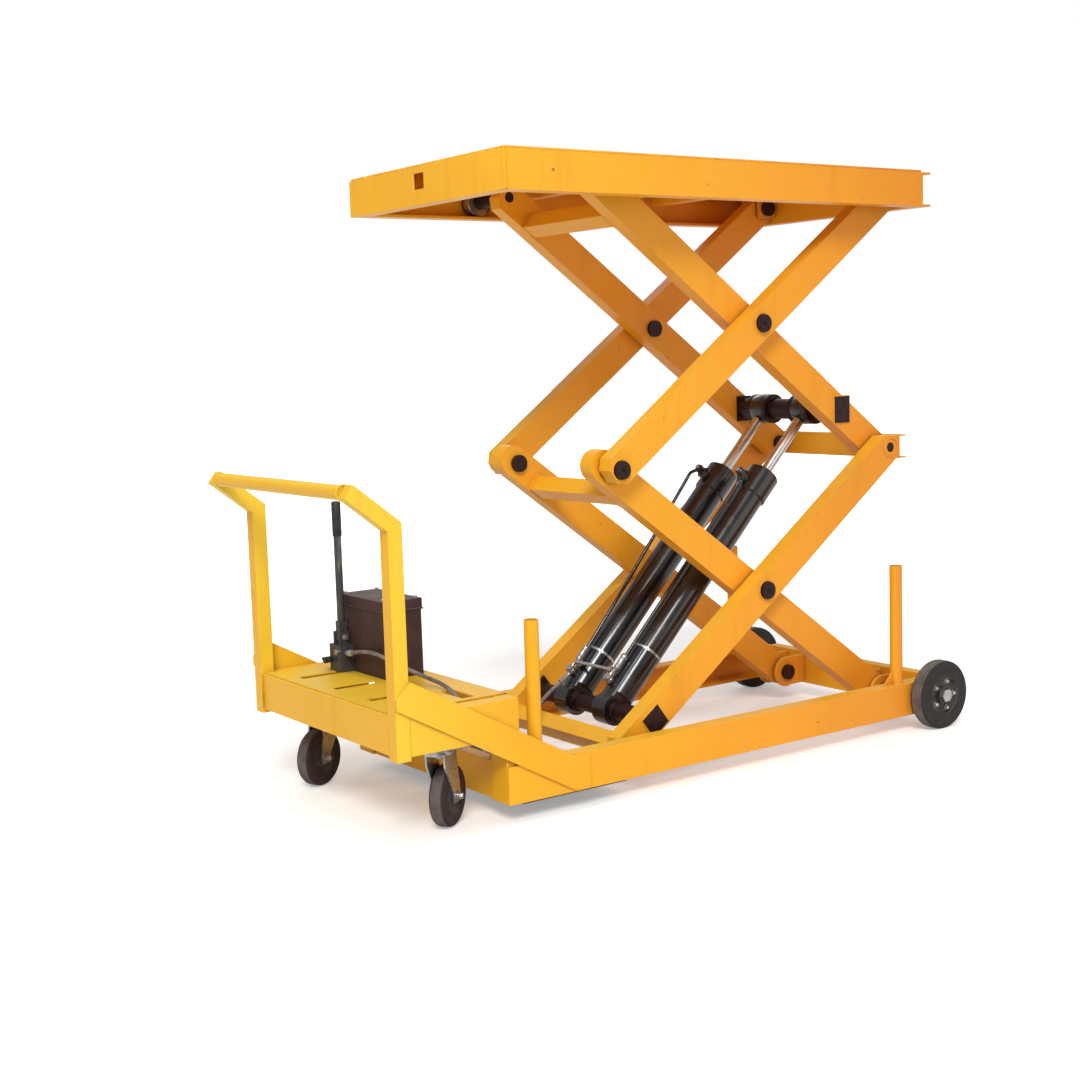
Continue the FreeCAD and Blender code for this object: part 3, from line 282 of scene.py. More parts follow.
def cylinder_gloss():
    """Glossy black paint with fine dust and rubbed edges."""
    s = Surface("cylinder_black_gloss", Coat_Weight=0.5, Coat_Roughness=0.10, Specular_IOR_Level=0.5)
    dust = s.spread(s.noise(9.0, 6.0, 0.62), 0.50, 0.75, 0.0, 0.30)
    tone = s.mix(dust, (0.010, 0.009, 0.011), (0.070, 0.062, 0.060))
    rub = s.maths("MULTIPLY", s.edges(0.002), s.spread(s.noise(45.0, 5.0), 0.48, 0.60))
    s.set("Base Color", s.mix(rub, tone, BARE_STEEL))
    s.set("Roughness", s.maths("ADD", s.spread(s.noise(7.0, 5.0), 0.3, 0.7, 0.14, 0.26),
                               s.maths("MULTIPLY", dust, 0.6)))
    s.bump(s.maths("ADD", s.noise(18.0, 2.0), s.maths("MULTIPLY", s.noise(380.0, 2.0), 0.2)), 0.16, 0.0006)
    return s.material


def rod_chrome():
    """Ground chrome on the rods, black paint on their eyes."""
    s = Surface("rod_chrome_and_eye")
    eye = RAMS_FOOT + RAM_AXIS * ram_span()
    measured = s.node("ShaderNodeVectorMath", operation="DISTANCE")
    flat = s.stretched((1, 0, 1))
    s.feed(measured.inputs[0], flat)
    measured.inputs[1].default_value = (eye.x, 0, eye.z)
    black = s.spread(measured.outputs["Value"], 0.0535, 0.052)
    rings = s.noise(900.0, 2.0, 0.5, s.stretched((1, 0.02, 1)))
    film = s.spread(s.noise(22.0, 5.0), 0.45, 0.70, 0.0, 0.35)
    steel = s.mix(film, (0.66, 0.66, 0.67), (0.44, 0.42, 0.40))
    s.set("Base Color", s.mix(black, steel, (0.014, 0.013, 0.016)))
    s.set("Metallic", s.maths("SUBTRACT", 1.0, black))
    s.set("Roughness", s.maths("ADD", s.spread(rings, 0.3, 0.7, 0.20, 0.30), s.maths("MULTIPLY", film, 0.25)))
    s.bump(s.noise(120.0, 3.0), 0.05, 0.0004)
    return s.material


def pin_steel():
    """Dark red-brown oxide on turned pins, shinier where it is rubbed."""
    s = Surface("dark_pin_steel", Metallic=0.25, Specular_IOR_Level=0.4)
    rust = s.spread(s.noise(55.0, 6.0, 0.65), 0.40, 0.66)
    tone = s.mix(rust, (0.010, 0.004, 0.005), (0.045, 0.011, 0.010))
    rub = s.maths("MULTIPLY", s.edges(0.0015), s.spread(s.noise(90.0, 4.0), 0.48, 0.64))
    s.set("Base Color", s.mix(rub, tone, (0.14, 0.10, 0.09)))
    s.set("Roughness", s.maths("SUBTRACT", s.spread(rust, 0.0, 1.0, 0.38, 0.62),
                               s.maths("MULTIPLY", rub, 0.15)))
    s.bump(s.maths("ADD", rust, s.noise(600.0, 2.0)), 0.25, 0.0004)
    return s.material


def roller_metal():
    """Turned steel with grease."""
    s = Surface("greasy_roller_steel", Metallic=0.8)
    grease = s.spread(s.noise(30.0, 5.0), 0.40, 0.62)
    s.set("Base Color", s.mix(grease, (0.42, 0.37, 0.31), (0.085, 0.062, 0.040)))
    s.set("Roughness", s.spread(grease, 0.0, 1.0, 0.28, 0.46))
    s.bump(s.noise(700.0, 2.0, 0.5, s.stretched((1, 0.05, 1))), 0.2, 0.0003)
    return s.material


def tank_paint():
    """Dull dark maroon paint, with dust and painted light on top."""
    s = Surface("maroon_tank_paint", Specular_IOR_Level=0.35)
    blotch = s.spread(s.noise(11.0, 6.0, 0.6), 0.35, 0.70)
    tone = s.mix(blotch, (0.038, 0.016, 0.017), (0.088, 0.040, 0.036))
    # dust and painted light: faces that look up are made lighter
    dust = s.maths("MULTIPLY", s.spread(s.facing("Z"), 0.5, 0.95),
                   s.spread(s.noise(25.0, 5.0), 0.3, 0.7, 0.35, 0.8))
    tone = s.mix(dust, tone, (0.16, 0.13, 0.13))
    rub = s.maths("MULTIPLY", s.edges(0.0022), s.spread(s.noise(40.0, 5.0), 0.46, 0.60))
    s.set("Base Color", s.mix(rub, tone, (0.20, 0.15, 0.15)))
    s.set("Roughness", s.spread(blotch, 0.0, 1.0, 0.52, 0.72))
    s.bump(s.maths("ADD", s.noise(180.0, 3.0), s.noise(16.0, 2.0)), 0.25, 0.0006)
    return s.material


def lever_paint():
    """Dark grey paint, scratched where hands hold it."""
    s = Surface("dark_lever_paint", Specular_IOR_Level=0.4)
    wear = s.spread(s.noise(60.0, 5.0, 0.6, s.stretched((1, 1, 0.25))), 0.58, 0.72)
    s.set("Base Color", s.mix(wear, (0.055, 0.053, 0.055), (0.17, 0.16, 0.155)))
    s.set("Roughness", s.spread(s.noise(30.0), 0.3, 0.7, 0.38, 0.58))
    s.bump(s.noise(300.0, 2.0), 0.15, 0.0004)
    return s.material


def zinc_plate():
    """Bright zinc with soft blotches, white bloom and painted shade in its crevices."""
    s = Surface("zinc_plate", Metallic=0.85)
    bloom = s.spread(s.noise(48.0, 5.0, 0.6), 0.44, 0.68)
    tone = s.mix(bloom, (0.55, 0.56, 0.58), (0.36, 0.35, 0.34))
    # painted shade: crevices are darkened by an ambient-occlusion mask
    crevice_shade = s.occlusion_shade(0.012)
    s.set("Base Color", s.mix(s.maths("MULTIPLY", crevice_shade, 0.7), tone, (0.07, 0.06, 0.05)))
    s.set("Roughness", s.spread(bloom, 0.0, 1.0, 0.26, 0.50))
    s.bump(s.noise(240.0, 3.0), 0.16, 0.0004)
    return s.material


def hose_cover():
    """Smooth rubber cover, dusty grey-pink, with a fine grain."""
    s = Surface("hose_cover", Specular_IOR_Level=0.35)
    dust = s.spread(s.noise(35.0, 5.0), 0.35, 0.65)
    s.set("Base Color", s.mix(dust, (0.13, 0.105, 0.105), (0.30, 0.25, 0.245)))
    s.set("Roughness", s.spread(dust, 0.0, 1.0, 0.50, 0.72))
    s.bump(s.noise(900.0, 2.0), 0.3, 0.0003)
    return s.material


def tyre_rubber(name, axle, dark, grey):
    """Solid tyre turning about an axle: dark side walls and a scuffed, dusty tread."""
    s = Surface(name, Specular_IOR_Level=0.3)
    sideways = s.node("ShaderNodeVectorMath", operation="DOT_PRODUCT")
    s.feed(sideways.inputs[0], s.own_normal())
    sideways.inputs[1].default_value = axle
    tread = s.spread(s.maths("ABSOLUTE", sideways.outputs["Value"]), 0.55, 0.30)
    scuff = s.spread(s.noise(28.0, 6.0, 0.65), 0.30, 0.70, 0.35, 1.0)
    s.set("Base Color", s.mix(s.maths("MULTIPLY", tread, scuff), dark, grey))
    s.set("Roughness", s.spread(s.noise(40.0, 4.0), 0.3, 0.7, 0.55, 0.82))
    s.bump(s.noise(210.0, 4.0, 0.6), 0.5, 0.0008)
    return s.material


def hub_paint():
    """Dark pressed steel with dust and a few bright rub marks."""
    s = Surface("dark_hub_paint", Metallic=0.3, Specular_IOR_Level=0.45)
    dust = s.spread(s.noise(26.0, 5.0), 0.40, 0.70)
    tone = s.mix(dust, (0.022, 0.020, 0.022), (0.085, 0.075, 0.070))
    rub = s.maths("MULTIPLY", s.edges(0.002), s.spread(s.noise(60.0, 4.0), 0.45, 0.60))
    s.set("Base Color", s.mix(rub, tone, (0.30, 0.29, 0.28)))
    s.set("Roughness", s.spread(dust, 0.0, 1.0, 0.38, 0.62))
    s.bump(s.noise(170.0, 3.0), 0.2, 0.0005)
    return s.material


def moulded_plastic():
    s = Surface("moulded_black_plastic", Specular_IOR_Level=0.4)
    grain = s.noise(420.0, 2.0)
    blotch = s.spread(s.noise(20.0), 0.4, 0.7)
    s.set("Base Color", s.mix(blotch, (0.020, 0.020, 0.021), (0.045, 0.043, 0.042)))
    s.set("Roughness", s.spread(grain, 0.3, 0.7, 0.42, 0.58))
    s.bump(grain, 0.35, 0.0003)
    return s.material


def ram_span():
    """From the lower mount to the upper one, along the ram."""
    return (high("cylinder_rods").z - ROD_EYE_R - RAMS_FOOT.z) / RAM_AXIS.z


YELLOW = yellow_enamel()
PLATE = deck_plate_paint()
BLACK_GLOSS = cylinder_gloss()
CHROME = rod_chrome()
PIN = pin_steel()
ROLLER = roller_metal()
MAROON = tank_paint()
LEVER = lever_paint()
ZINC = zinc_plate()
HOSE = hose_cover()
TYRE = tyre_rubber("rear_tyre_rubber", (0, 1, 0), (0.028, 0.025, 0.025), (0.20, 0.18, 0.165))
CASTER_TYRES = {side: tyre_rubber("caster_tyre_rubber_" + side, JOINTS["caster_" + side + "_roll"]["axis"],
                                  (0.040, 0.022, 0.022), (0.150, 0.130, 0.125)) for side in ("near", "far")}
HUB = hub_paint()
PLASTIC = moulded_plastic()

SLOT_MATERIALS = {
    "yellow_paint": YELLOW, "floor_steel": PLATE, "black_cylinder_paint": BLACK_GLOSS, "chrome_rod": CHROME,
    "dark_pin_steel": PIN, "roller_steel": ROLLER, "tank_paint": MAROON, "lever_steel": LEVER, "zinc": ZINC,
    "hose_rubber": HOSE, "wheel_tread": TYRE, "wheel_hub": HUB, "caster_tread": CASTER_TYRES["near"],
    "knob_plastic": PLASTIC,
}


# ---------------------------------------------------------------- CAD nodes
def soften(node, width):
    """Round the sharp edges of a CAD node as it is drawn, without touching its mesh."""
    merge = node.modifiers.new("merge", "WELD")
    merge.merge_threshold = 0.00002
    flats = node.modifiers.new("flats", "DECIMATE")
    flats.decimate_type = "DISSOLVE"
    flats.angle_limit = math.radians(0.6)
    bevel = node.modifiers.new("soft_edges", "BEVEL")
    bevel.width = width
    bevel.segments = 2
    bevel.limit_method = "ANGLE"
    bevel.angle_limit = math.radians(40)
    bevel.use_clamp_overlap = True
    bevel.harden_normals = False
    shade = node.modifiers.new("even_shading", "WEIGHTED_NORMAL")
    shade.keep_sharp = False
    shade.weight = 100


# by part of a node's name; "er_arm_" is in the names of the eight arms only
EDGE_WIDTHS = {"er_arm_": 0.0055, "tube": 0.0018, "gland": 0.006, "rods": 0.007, "rail": 0.0025,
               "channel": 0.0022, "strut": 0.0015, "handle_upright": 0.0026, "platform_top": 0.0012,
               "pump_tank": 0.003, "pump_lid": 0.002, "pump_body": 0.003, "bracket": 0.002, "beam": 0.002,
               "riser": 0.0025}


def dress_cad_nodes():
    slots = {row["node"]: row["material_slot"] for row in frame["record"]["subparts"]}
    for name, node in frame["nodes"].items():
        node.data.materials.clear()
        node.data.materials.append(CASTER_TYRES["far"] if name == "caster_wheel_far"
                                   else SLOT_MATERIALS[slots[name]])
        width = max([value for key, value in EDGE_WIDTHS.items() if key in name], default=0.0)
        if width:
            if "custom_normal" in node.data.attributes:
                node.data.attributes.remove(node.data.attributes["custom_normal"])
            node.data.shade_smooth()
            soften(node, width)


# ---------------------------------------------------------------- mesh building
class Build:
    """Collects the faces of one visible piece, in the row frame."""

    def __init__(self):
        self.points = []
        self.faces = []

    def rings(self, rings, closed=False, caps=True):
        """Skin equal rings of points one after another."""
        start = len(self.points)
        count = len(rings[0])
        for ring in rings:
            self.points.extend(ring)
        spans = len(rings) if closed else len(rings) - 1
        for i in range(spans):
            a = start + i * count
            b = start + ((i + 1) % len(rings)) * count
            for k in range(count):
                n = (k + 1) % count
                self.faces.append((a + k, a + n, b + n, b + k))
        if caps and not closed:
            last = start + (len(rings) - 1) * count
            self.faces.append(tuple(range(start + count - 1, start - 1, -1)))
            self.faces.append(tuple(range(last, last + count)))

    def lathe(self, centre, axis, profile, sides=36, caps=True):
        """Turn (height, radius) steps about an axis through centre."""
        first, second = across_axes(axis)
        rings = []
        for height, radius in profile:
            rings.append(circle(centre + axis * height, first, second, radius, sides))
        self.rings(rings, caps=caps)

    def tube(self, points, radius, sides=8, closed=False):
        """Round section along a path; radius is a number or one number per point."""
        radii = radius if isinstance(radius, list) else [radius] * len(points)
        first = None
        rings = []
        for i, point in enumerate(points):
            before = points[i - 1] if i or closed else point
            after = points[(i + 1) % len(points)] if i + 1 < len(points) or closed else point
            direction = (after - before).normalized()
            if first is None:
                first = across_axes(direction)[0]
            first = (first - direction * first.dot(direction)).normalized()
            second = direction.cross(first)
            rings.append(circle(point, first, second, radii[i], sides))
        self.rings(rings, closed)

    def hexagon(self, centre, axis, across_flats, thickness):
        """Hexagon head with a turned-down rim."""
        corner = across_flats / math.sqrt(3)
        rim = across_flats * 0.48
        first, second = across_axes(axis)
        rings = []
        for height, factor in ((0.0, 1.0), (thickness * 0.82, 1.0), (thickness, rim / corner)):
            rings.append(circle(centre + axis * height, first, second, corner * factor, 6))
        self.rings(rings)

    def bolt(self, centre, axis, across_flats):
        """Washer and hexagon head standing on a face."""
        thickness = across_flats * 0.14
        self.lathe(centre, axis, ((0, across_flats * 0.72), (thickness * 0.8, across_flats * 0.72),
                                  (thickness, across_flats * 0.68)), 24)
        self.hexagon(centre + axis * thickness, axis, across_flats, across_flats * 0.62)

    def nipple(self, centre, axis):
        """Grease nipple."""
        self.hexagon(centre, axis, 0.009, 0.0035)
        steps = ((0, 0.0022), (0.003, 0.0022), (0.0045, 0.0034), (0.0065, 0.0034), (0.0085, 0.0018))
        self.lathe(centre + axis * 0.0035, axis, steps, 16)

    def bead(self, points, radius=0.0032, closed=False):
        """Weld bead: a low rope with the ripples of a laid puddle."""
        pitch = 0.0042
        path = []
        ends = points[1:] + points[:1] if closed else points[1:]
        for start, end in zip(points, ends):
            steps = max(2, int((end - start).length / pitch * 2))
            path.extend(start.lerp(end, i / steps) for i in range(steps))
        if not closed:
            path.append(points[-1])
        swell = (-0.10, 0.16)
        radii = [radius * (1.0 + swell[i % 2] + random.uniform(-0.08, 0.08)) for i in range(len(path))]
        self.tube(path, radii, 7, closed)

    def piece(self, name, material, body):
        """Make the object, smooth it up to a crease angle and hang it on a body."""
        mesh = bpy.data.meshes.new(name)
        mesh.from_pydata([tuple(point) for point in self.points], [], self.faces)
        mesh.validate()
        mesh.shade_smooth()
        mesh.set_sharp_from_angle(angle=math.radians(38))
        mesh.materials.append(material)
        made = bpy.data.objects.new(name, mesh)
        bpy.context.scene.collection.objects.link(made)
        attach(made, body)


def turns(count):
    return [2 * math.pi * i / count for i in range(count)]


def across_axes(axis):
    """Two unit vectors at right angles to an axis and to each other."""
    helper = UP if abs(axis.z) < 0.9 else ALONG
    first = axis.cross(helper).normalized()
    return first, axis.cross(first).normalized()


def circle(centre, first, second, radius, count=28):
    """Closed circle of points in the plane of two unit vectors."""
    return [centre + (first * math.cos(t) + second * math.sin(t)) * radius for t in turns(count)]


def outline(centre, first, second, half_first, half_second):
    """Four corners of a rectangle in the plane of two unit vectors."""
    return [centre + first * a * half_first + second * b * half_second
            for a, b in ((-1, -1), (1, -1), (1, 1), (-1, 1))]


def at_side(point, side, y):
    return Vector((point.x, side * y, point.z))


def span(x0, y0, z0, x1, y1, z1):
    return [Vector((x0, y0, z0)), Vector((x1, y1, z1))]


# ---------------------------------------------------------------- weld beads
CROSS_HALF = 0.025           # half the side of a cross tube
PROUD = 0.0003               # how far a bead's path stands off a face
FOOT_MOUNT_HALF = 0.0345
HEAD_MOUNT_HALVES = (0.0325, 0.0405)
STITCH_HALF = 0.022
STRUT_TOE_X = -0.432
STRUT_HEEL_X = -0.424
RISER_INNER_Y = 0.312
UPRIGHT_X = (-0.950, -0.910)
POST_X = (-0.530, 0.820)
POST_Y = 0.367
POST_R = 0.019
GUSSET = 0.038
GUSSET_HALF = 0.003
REAR_CROSS_X = 0.960
RAIL_FLANGE_TIP_Y = 0.342
GRIP_DISC_R = 0.0165


def arm_point(start, direction, along, across):
    """Point of an arm from a pivot: along it, and across it."""
    return start + direction * along + Vector((-direction.z, 0, direction.x)) * across


def scissor_welds():
    lower_inner = Build()
    upper_inner = Build()
    lower_outer = Build()
    normal_falling = Vector((-FALLING.z, 0, FALLING.x))
    normal_rising = Vector((-RISING.z, 0, RISING.x))
    lower_tube = arm_point(KNEE, FALLING, 0.100, -0.018)
    upper_tube = arm_point(PLATFORM_ROLLER, FALLING, 0.110, -0.018)
    roller_tube = arm_point(BASE_ROLLER, RISING, 0.008, -0.004)
    upper_mount = RAMS_FOOT + RAM_AXIS * ram_span()
    channel_x = low("rear_arm_channel").x
    for side in SIDES:
        lower_inner.bead(outline(at_side(lower_tube, side, INNER_FACE - PROUD), FALLING, normal_falling,
                                 CROSS_HALF, CROSS_HALF), closed=True)
        upper_inner.bead(outline(at_side(upper_tube, side, INNER_FACE - PROUD), FALLING, normal_falling,
                                 CROSS_HALF, CROSS_HALF), closed=True)
        lower_outer.bead(outline(at_side(roller_tube, side, OUTER_FACE - PROUD), RISING, normal_rising,
                                 CROSS_HALF, CROSS_HALF), closed=True)
        lower_outer.bead(outline(at_side(RAMS_FOOT, side, OUTER_ARM_OUT + PROUD), RISING, normal_rising,
                                 FOOT_MOUNT_HALF, FOOT_MOUNT_HALF), 0.0026, closed=True)
        upper_inner.bead(outline(at_side(upper_mount, side, INNER_ARM_OUT + PROUD), ALONG, UP,
                                 *HEAD_MOUNT_HALVES), 0.0026, closed=True)
        for y in (OUTER_FACE, OUTER_ARM_OUT):
            lower_outer.bead(span(channel_x, side * y, low("rear_arm_channel").z + 0.004,
                                  channel_x, side * y, high("rear_arm_channel").z - 0.004), 0.003)
    lower_inner.piece("weld_beads_lower_inner", YELLOW, "lower_inner")
    upper_inner.piece("weld_beads_upper_inner", YELLOW, "upper_inner")
    lower_outer.piece("weld_beads_lower_outer", YELLOW, "lower_outer")


def platform_welds():
    """Stitch welds round the top plate, corner seams of the frame, and the pivot plates' rear edges."""
    beads = Build()
    plate_low, plate_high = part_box("platform_top")
    channel_low, channel_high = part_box("platform_side_channel_far")
    frame_top = plate_low.z
    seam_z = frame_top + 0.001
    half = plate_high.y
    stitches = 8
    pitch = (plate_high.x - plate_low.x) / stitches
    for side in SIDES:
        for i in range(stitches):
            middle = plate_low.x + pitch * (i + 0.5)
            beads.bead(span(middle - STITCH_HALF, side * half, seam_z,
                            middle + STITCH_HALF, side * half, seam_z), 0.003)
        edge_y = side * channel_high.y
        for corner_x in (channel_low.x, channel_high.x):
            beads.bead(span(corner_x, edge_y, channel_low.z + 0.002,
                            corner_x, edge_y, frame_top - 0.002), 0.002)
    for i in range(4):
        y = -half + 2 * half * (i + 0.5) / 4
        beads.bead(span(plate_low.x, y - STITCH_HALF, seam_z, plate_low.x, y + STITCH_HALF, seam_z), 0.003)
    bracket_low, bracket_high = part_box("platform_pivot_brackets")
    for side in SIDES:
        for y in (OUTER_FACE - 0.005, OUTER_ARM_OUT + 0.005):
            beads.bead(span(bracket_high.x, side * y, bracket_low.z + 0.004, bracket_high.x, side * y,
                            bracket_high.z - 0.012), 0.003)
    beads.piece("weld_beads_platform", YELLOW, "platform")


def base_welds():
    """Seams of the struts, risers, uprights, posts and rear cross channel, and the grip bar's ends."""
    beads = Build()
    discs = Build()
    rail_low, rail_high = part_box("base_rail_far")
    strut_low, strut_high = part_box("side_struts")
    deck_low, deck_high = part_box("deck_channels")
    riser_low, riser_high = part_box("front_risers")
    upright_low, upright_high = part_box("handle_upright_far")
    grip_low, grip_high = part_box("handle_grip_bar")
    front_x, back_x = UPRIGHT_X
    rail_top = rail_high.z
    deck_foot = deck_low.z + 0.004
    deck_head = deck_high.z - 0.002
    gusset_back = POST_X[1] - POST_R
    for side in SIDES:
        seam = side * (rail_high.y + 0.0012)
        beads.bead(span(strut_high.x, seam, strut_low.z + 0.001, strut_high.x, seam, rail_top - 0.001))
        beads.bead(span(STRUT_HEEL_X, seam, strut_low.z, -0.600, seam, 0.1525))
        beads.bead(span(STRUT_HEEL_X, seam, strut_low.z, strut_high.x, seam, strut_low.z))
        seam = side * (strut_high.y - 0.008)
        beads.bead(span(STRUT_TOE_X, seam, rail_top, strut_high.x, seam, rail_top), 0.0026)
        seam = side * riser_high.y
        beads.bead(span(riser_low.x, seam, rail_top, riser_low.x, seam, deck_low.z - 0.001), 0.0024)
        beads.bead(span(riser_low.x, side * RISER_INNER_Y, deck_low.z, riser_low.x, seam, deck_low.z))
        seam = side * (upright_low.y - 0.0005)
        beads.bead(span(back_x, seam, deck_foot, back_x, seam, deck_head))
        seam = side * (upright_high.y + 0.0005)
        for back_z, nose_z in ((0.4115, 0.3725), (0.3245, 0.3455)):
            beads.bead(span(back_x - 0.002, seam, back_z, front_x - 0.001, seam, nose_z), 0.0022)
        seam = side * upright_low.y
        beads.bead(span(front_x, seam, deck_foot, front_x, seam, deck_head), 0.0024)
        for x in POST_X:
            foot = Vector((x, side * POST_Y, rail_top))
            beads.bead(circle(foot, ALONG, ACROSS, POST_R + 0.0005), 0.003, closed=True)
        for y in (POST_Y - GUSSET_HALF, POST_Y + GUSSET_HALF):
            beads.bead(span(gusset_back - GUSSET, side * y, rail_top,
                            gusset_back, side * y, rail_top), 0.0022)
        seam = side * RAIL_FLANGE_TIP_Y
        beads.bead(span(REAR_CROSS_X, seam, rail_low.z + 0.004, REAR_CROSS_X, seam, rail_top))
        butt = Vector(((grip_low.x + grip_high.x) / 2, side * (grip_high.y - 0.0006),
                       (grip_low.z + grip_high.z) / 2))
        grip_r = (grip_high.z - grip_low.z) / 2
        beads.bead(circle(butt, ALONG, UP, grip_r + 0.0004, 30), 0.0024, closed=True)
        out = ACROSS * side
        discs.lathe(butt - out * 0.003, out, ((0, GRIP_DISC_R), (0.0033, GRIP_DISC_R)), 32)
    beads.piece("weld_beads_base", YELLOW, "base")
    discs.piece("grip_end_discs", YELLOW, "base")


# ---------------------------------------------------------------- hoses and pipes
# the same routes as in the CAD part, in metres
PUMP_HOSE = [(-0.767, 0.176, 0.384), (-0.768, 0.112, 0.398), (-0.767, 0.046, 0.405),
             (-0.762, -0.020, 0.397), (-0.738, -0.080, 0.376), (-0.708, -0.138, 0.355),
             (-0.694, -0.200, 0.344), (-0.695, -0.260, 0.326), (-0.697, -0.288, 0.274),
             (-0.683, -0.294, 0.222), (-0.647, -0.284, 0.188), (-0.610, -0.276, 0.179)]
CYLINDER_HOSE = [(-0.534, -0.090, 0.108), (-0.468, -0.092, 0.106), (-0.404, -0.082, 0.092),
                 (-0.345, -0.052, 0.076), (-0.290, -0.012, 0.074), (-0.250, 0.032, 0.096),
                 (-0.226, 0.064, 0.138), (-0.194, 0.082, 0.176), (-0.147, 0.090, 0.204),
                 (-0.095, 0.092, 0.233)]
HOSE_RADIUS = 0.0055


def hose_curve(name, points):
    """Smooth hose, with its centre line: a NURBS spline whose control points are the route's points."""
    curve = bpy.data.curves.new(name, "CURVE")
    curve.dimensions = "3D"
    curve.resolution_u = 10
    spline = curve.splines.new("NURBS")
    spline.points.add(len(points) - 1)
    for control, point in zip(spline.points, points):
        control.co = (*point, 1.0)
    spline.order_u = 3
    spline.use_endpoint_u = True
    made = bpy.data.objects.new(name, curve)
    bpy.context.scene.collection.objects.link(made)
    bpy.context.view_layer.update()
    drawn = made.evaluated_get(bpy.context.evaluated_depsgraph_get())
    line = bpy.data.meshes.new_from_object(drawn)
    path = [vertex.co.copy() for vertex in line.vertices]
    curve.bevel_depth = HOSE_RADIUS
    curve.bevel_resolution = 5
    curve.use_fill_caps = True
    curve.materials.append(HOSE)
    return made, path


def as_mesh(curve_object):
    """Replace a curve object with a mesh object of the same shape and name."""
    bpy.context.view_layer.update()
    name = curve_object.name
    drawn = curve_object.evaluated_get(bpy.context.evaluated_depsgraph_get())
    mesh = bpy.data.meshes.new_from_object(drawn)
    bpy.data.objects.remove(curve_object)
    made = bpy.data.objects.new(name, mesh)
    bpy.context.scene.collection.objects.link(made)
    mesh.shade_smooth()
    return made


def ferrule(build, tip, direction):
    """Crimped sleeve over a hose end, running back along the hose."""
    length = 0.026
    ribs = 4
    steps = [(0.0, 0.0080), (0.001, 0.0088)]
    for i in range(ribs):
        place = 0.004 + (length - 0.008) * i / ribs
        steps += [(place, 0.0088), (place + 0.001, 0.0079), (place + 0.003, 0.0079), (place + 0.004, 0.0088)]
    steps += [(length - 0.001, 0.0088), (length, 0.0078)]
    build.lathe(tip, direction, steps, 28)


def hoses():
    pump, pump_path = hose_curve("pump_hose_cover", PUMP_HOSE)
    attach(pump, "base")
    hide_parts("pump_hose")
    cylinder, cylinder_path = hose_curve("cylinder_hose_cover", CYLINDER_HOSE)
    cylinder = as_mesh(cylinder)
    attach(cylinder, "base")
    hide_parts("cylinder_hose")
    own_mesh(cylinder)
    sleeves = Build()
    for path in (pump_path, cylinder_path):
        direction = (path[1] - path[0]).normalized()
        ferrule(sleeves, path[0] + direction * 0.0005, direction)
    back = (pump_path[-2] - pump_path[-1]).normalized()
    ferrule(sleeves, pump_path[-1], back)
    sleeves.piece("hose_ferrules", ZINC, "base")


def ram_point(along, y, across):
    return RAMS_FOOT + RAM_AXIS * along + RAM_ACROSS * across + ACROSS * y


def rounded_path(points, radius, steps=6):
    """Path through points with each corner turned in an arc."""
    path = [points[0]]
    for before, corner, after in zip(points, points[1:], points[2:]):
        inward = (before - corner).normalized()
        outward = (after - corner).normalized()
        start = corner + inward * radius
        end = corner + outward * radius
        for i in range(steps + 1):
            t = i / steps
            path.append(start.lerp(corner, t).lerp(corner.lerp(end, t), t))
    path.append(points[-1])
    return path


PORT = (0.062, 0.055)        # along and across a ram: top of the port at its foot
HEAD_PORT = (0.827, 0.068)   # top of the port on its gland head
GLAND_TOP = 0.885
PIPE_FOOT = 0.150
FITTING_ACROSS = 0.060


def return_pipe(side):
    """Thin pipe from a head's port down to the foot; the far one bows out from its barrel."""
    y = side * RAM_Y
    bow = 0.046 if side > 0 else 0.006
    points = [ram_point(HEAD_PORT[0], y, HEAD_PORT[1] + 0.012)]
    steps = 14
    for i in range(steps + 1):
        t = i / steps
        points.append(ram_point(0.795 + (PIPE_FOOT - 0.795) * t, y, 0.056 + bow * (1 - t) ** 1.2))
    return rounded_path(points, 0.010, 4)


def foot_plumbing(metal, side):
    """Banjo on the foot port, and the bright check valve that the return pipe ends in."""
    y = side * RAM_Y
    port = ram_point(PORT[0], y, PORT[1])
    metal.hexagon(port, RAM_ACROSS, 0.024, 0.009)
    metal.lathe(port + RAM_ACROSS * 0.009, RAM_ACROSS, ((0, 0.0105), (0.010, 0.0105), (0.012, 0.009)), 24)
    metal.lathe(ram_point(0.098, y, FITTING_ACROSS), RAM_AXIS,
                ((0, 0.0070), (0.004, 0.0095), (0.012, 0.0095), (0.014, 0.0088), (0.038, 0.0088),
                 (0.040, 0.0098), (0.050, 0.0098), (0.054, 0.0070)), 28)
    metal.tube(rounded_path([port + RAM_ACROSS * 0.008, ram_point(0.080, y, FITTING_ACROSS + 0.006),
                             ram_point(0.100, y, FITTING_ACROSS)], 0.006), 0.0055, 14)


def thin_band(bands, along, y):
    """Flat steel strap round a barrel, closed with a small screw."""
    centre = ram_point(along, y, 0)
    rings = []
    for offset, radius in ((-0.004, 0.0452), (-0.0035, 0.0464), (0.0035, 0.0464), (0.004, 0.0452)):
        rings.append(circle(centre + RAM_AXIS * offset, ACROSS, RAM_ACROSS, radius, 56))
    bands.rings(rings, caps=False)
    bands.bolt(centre + RAM_ACROSS * 0.0462, RAM_ACROSS, 0.008)


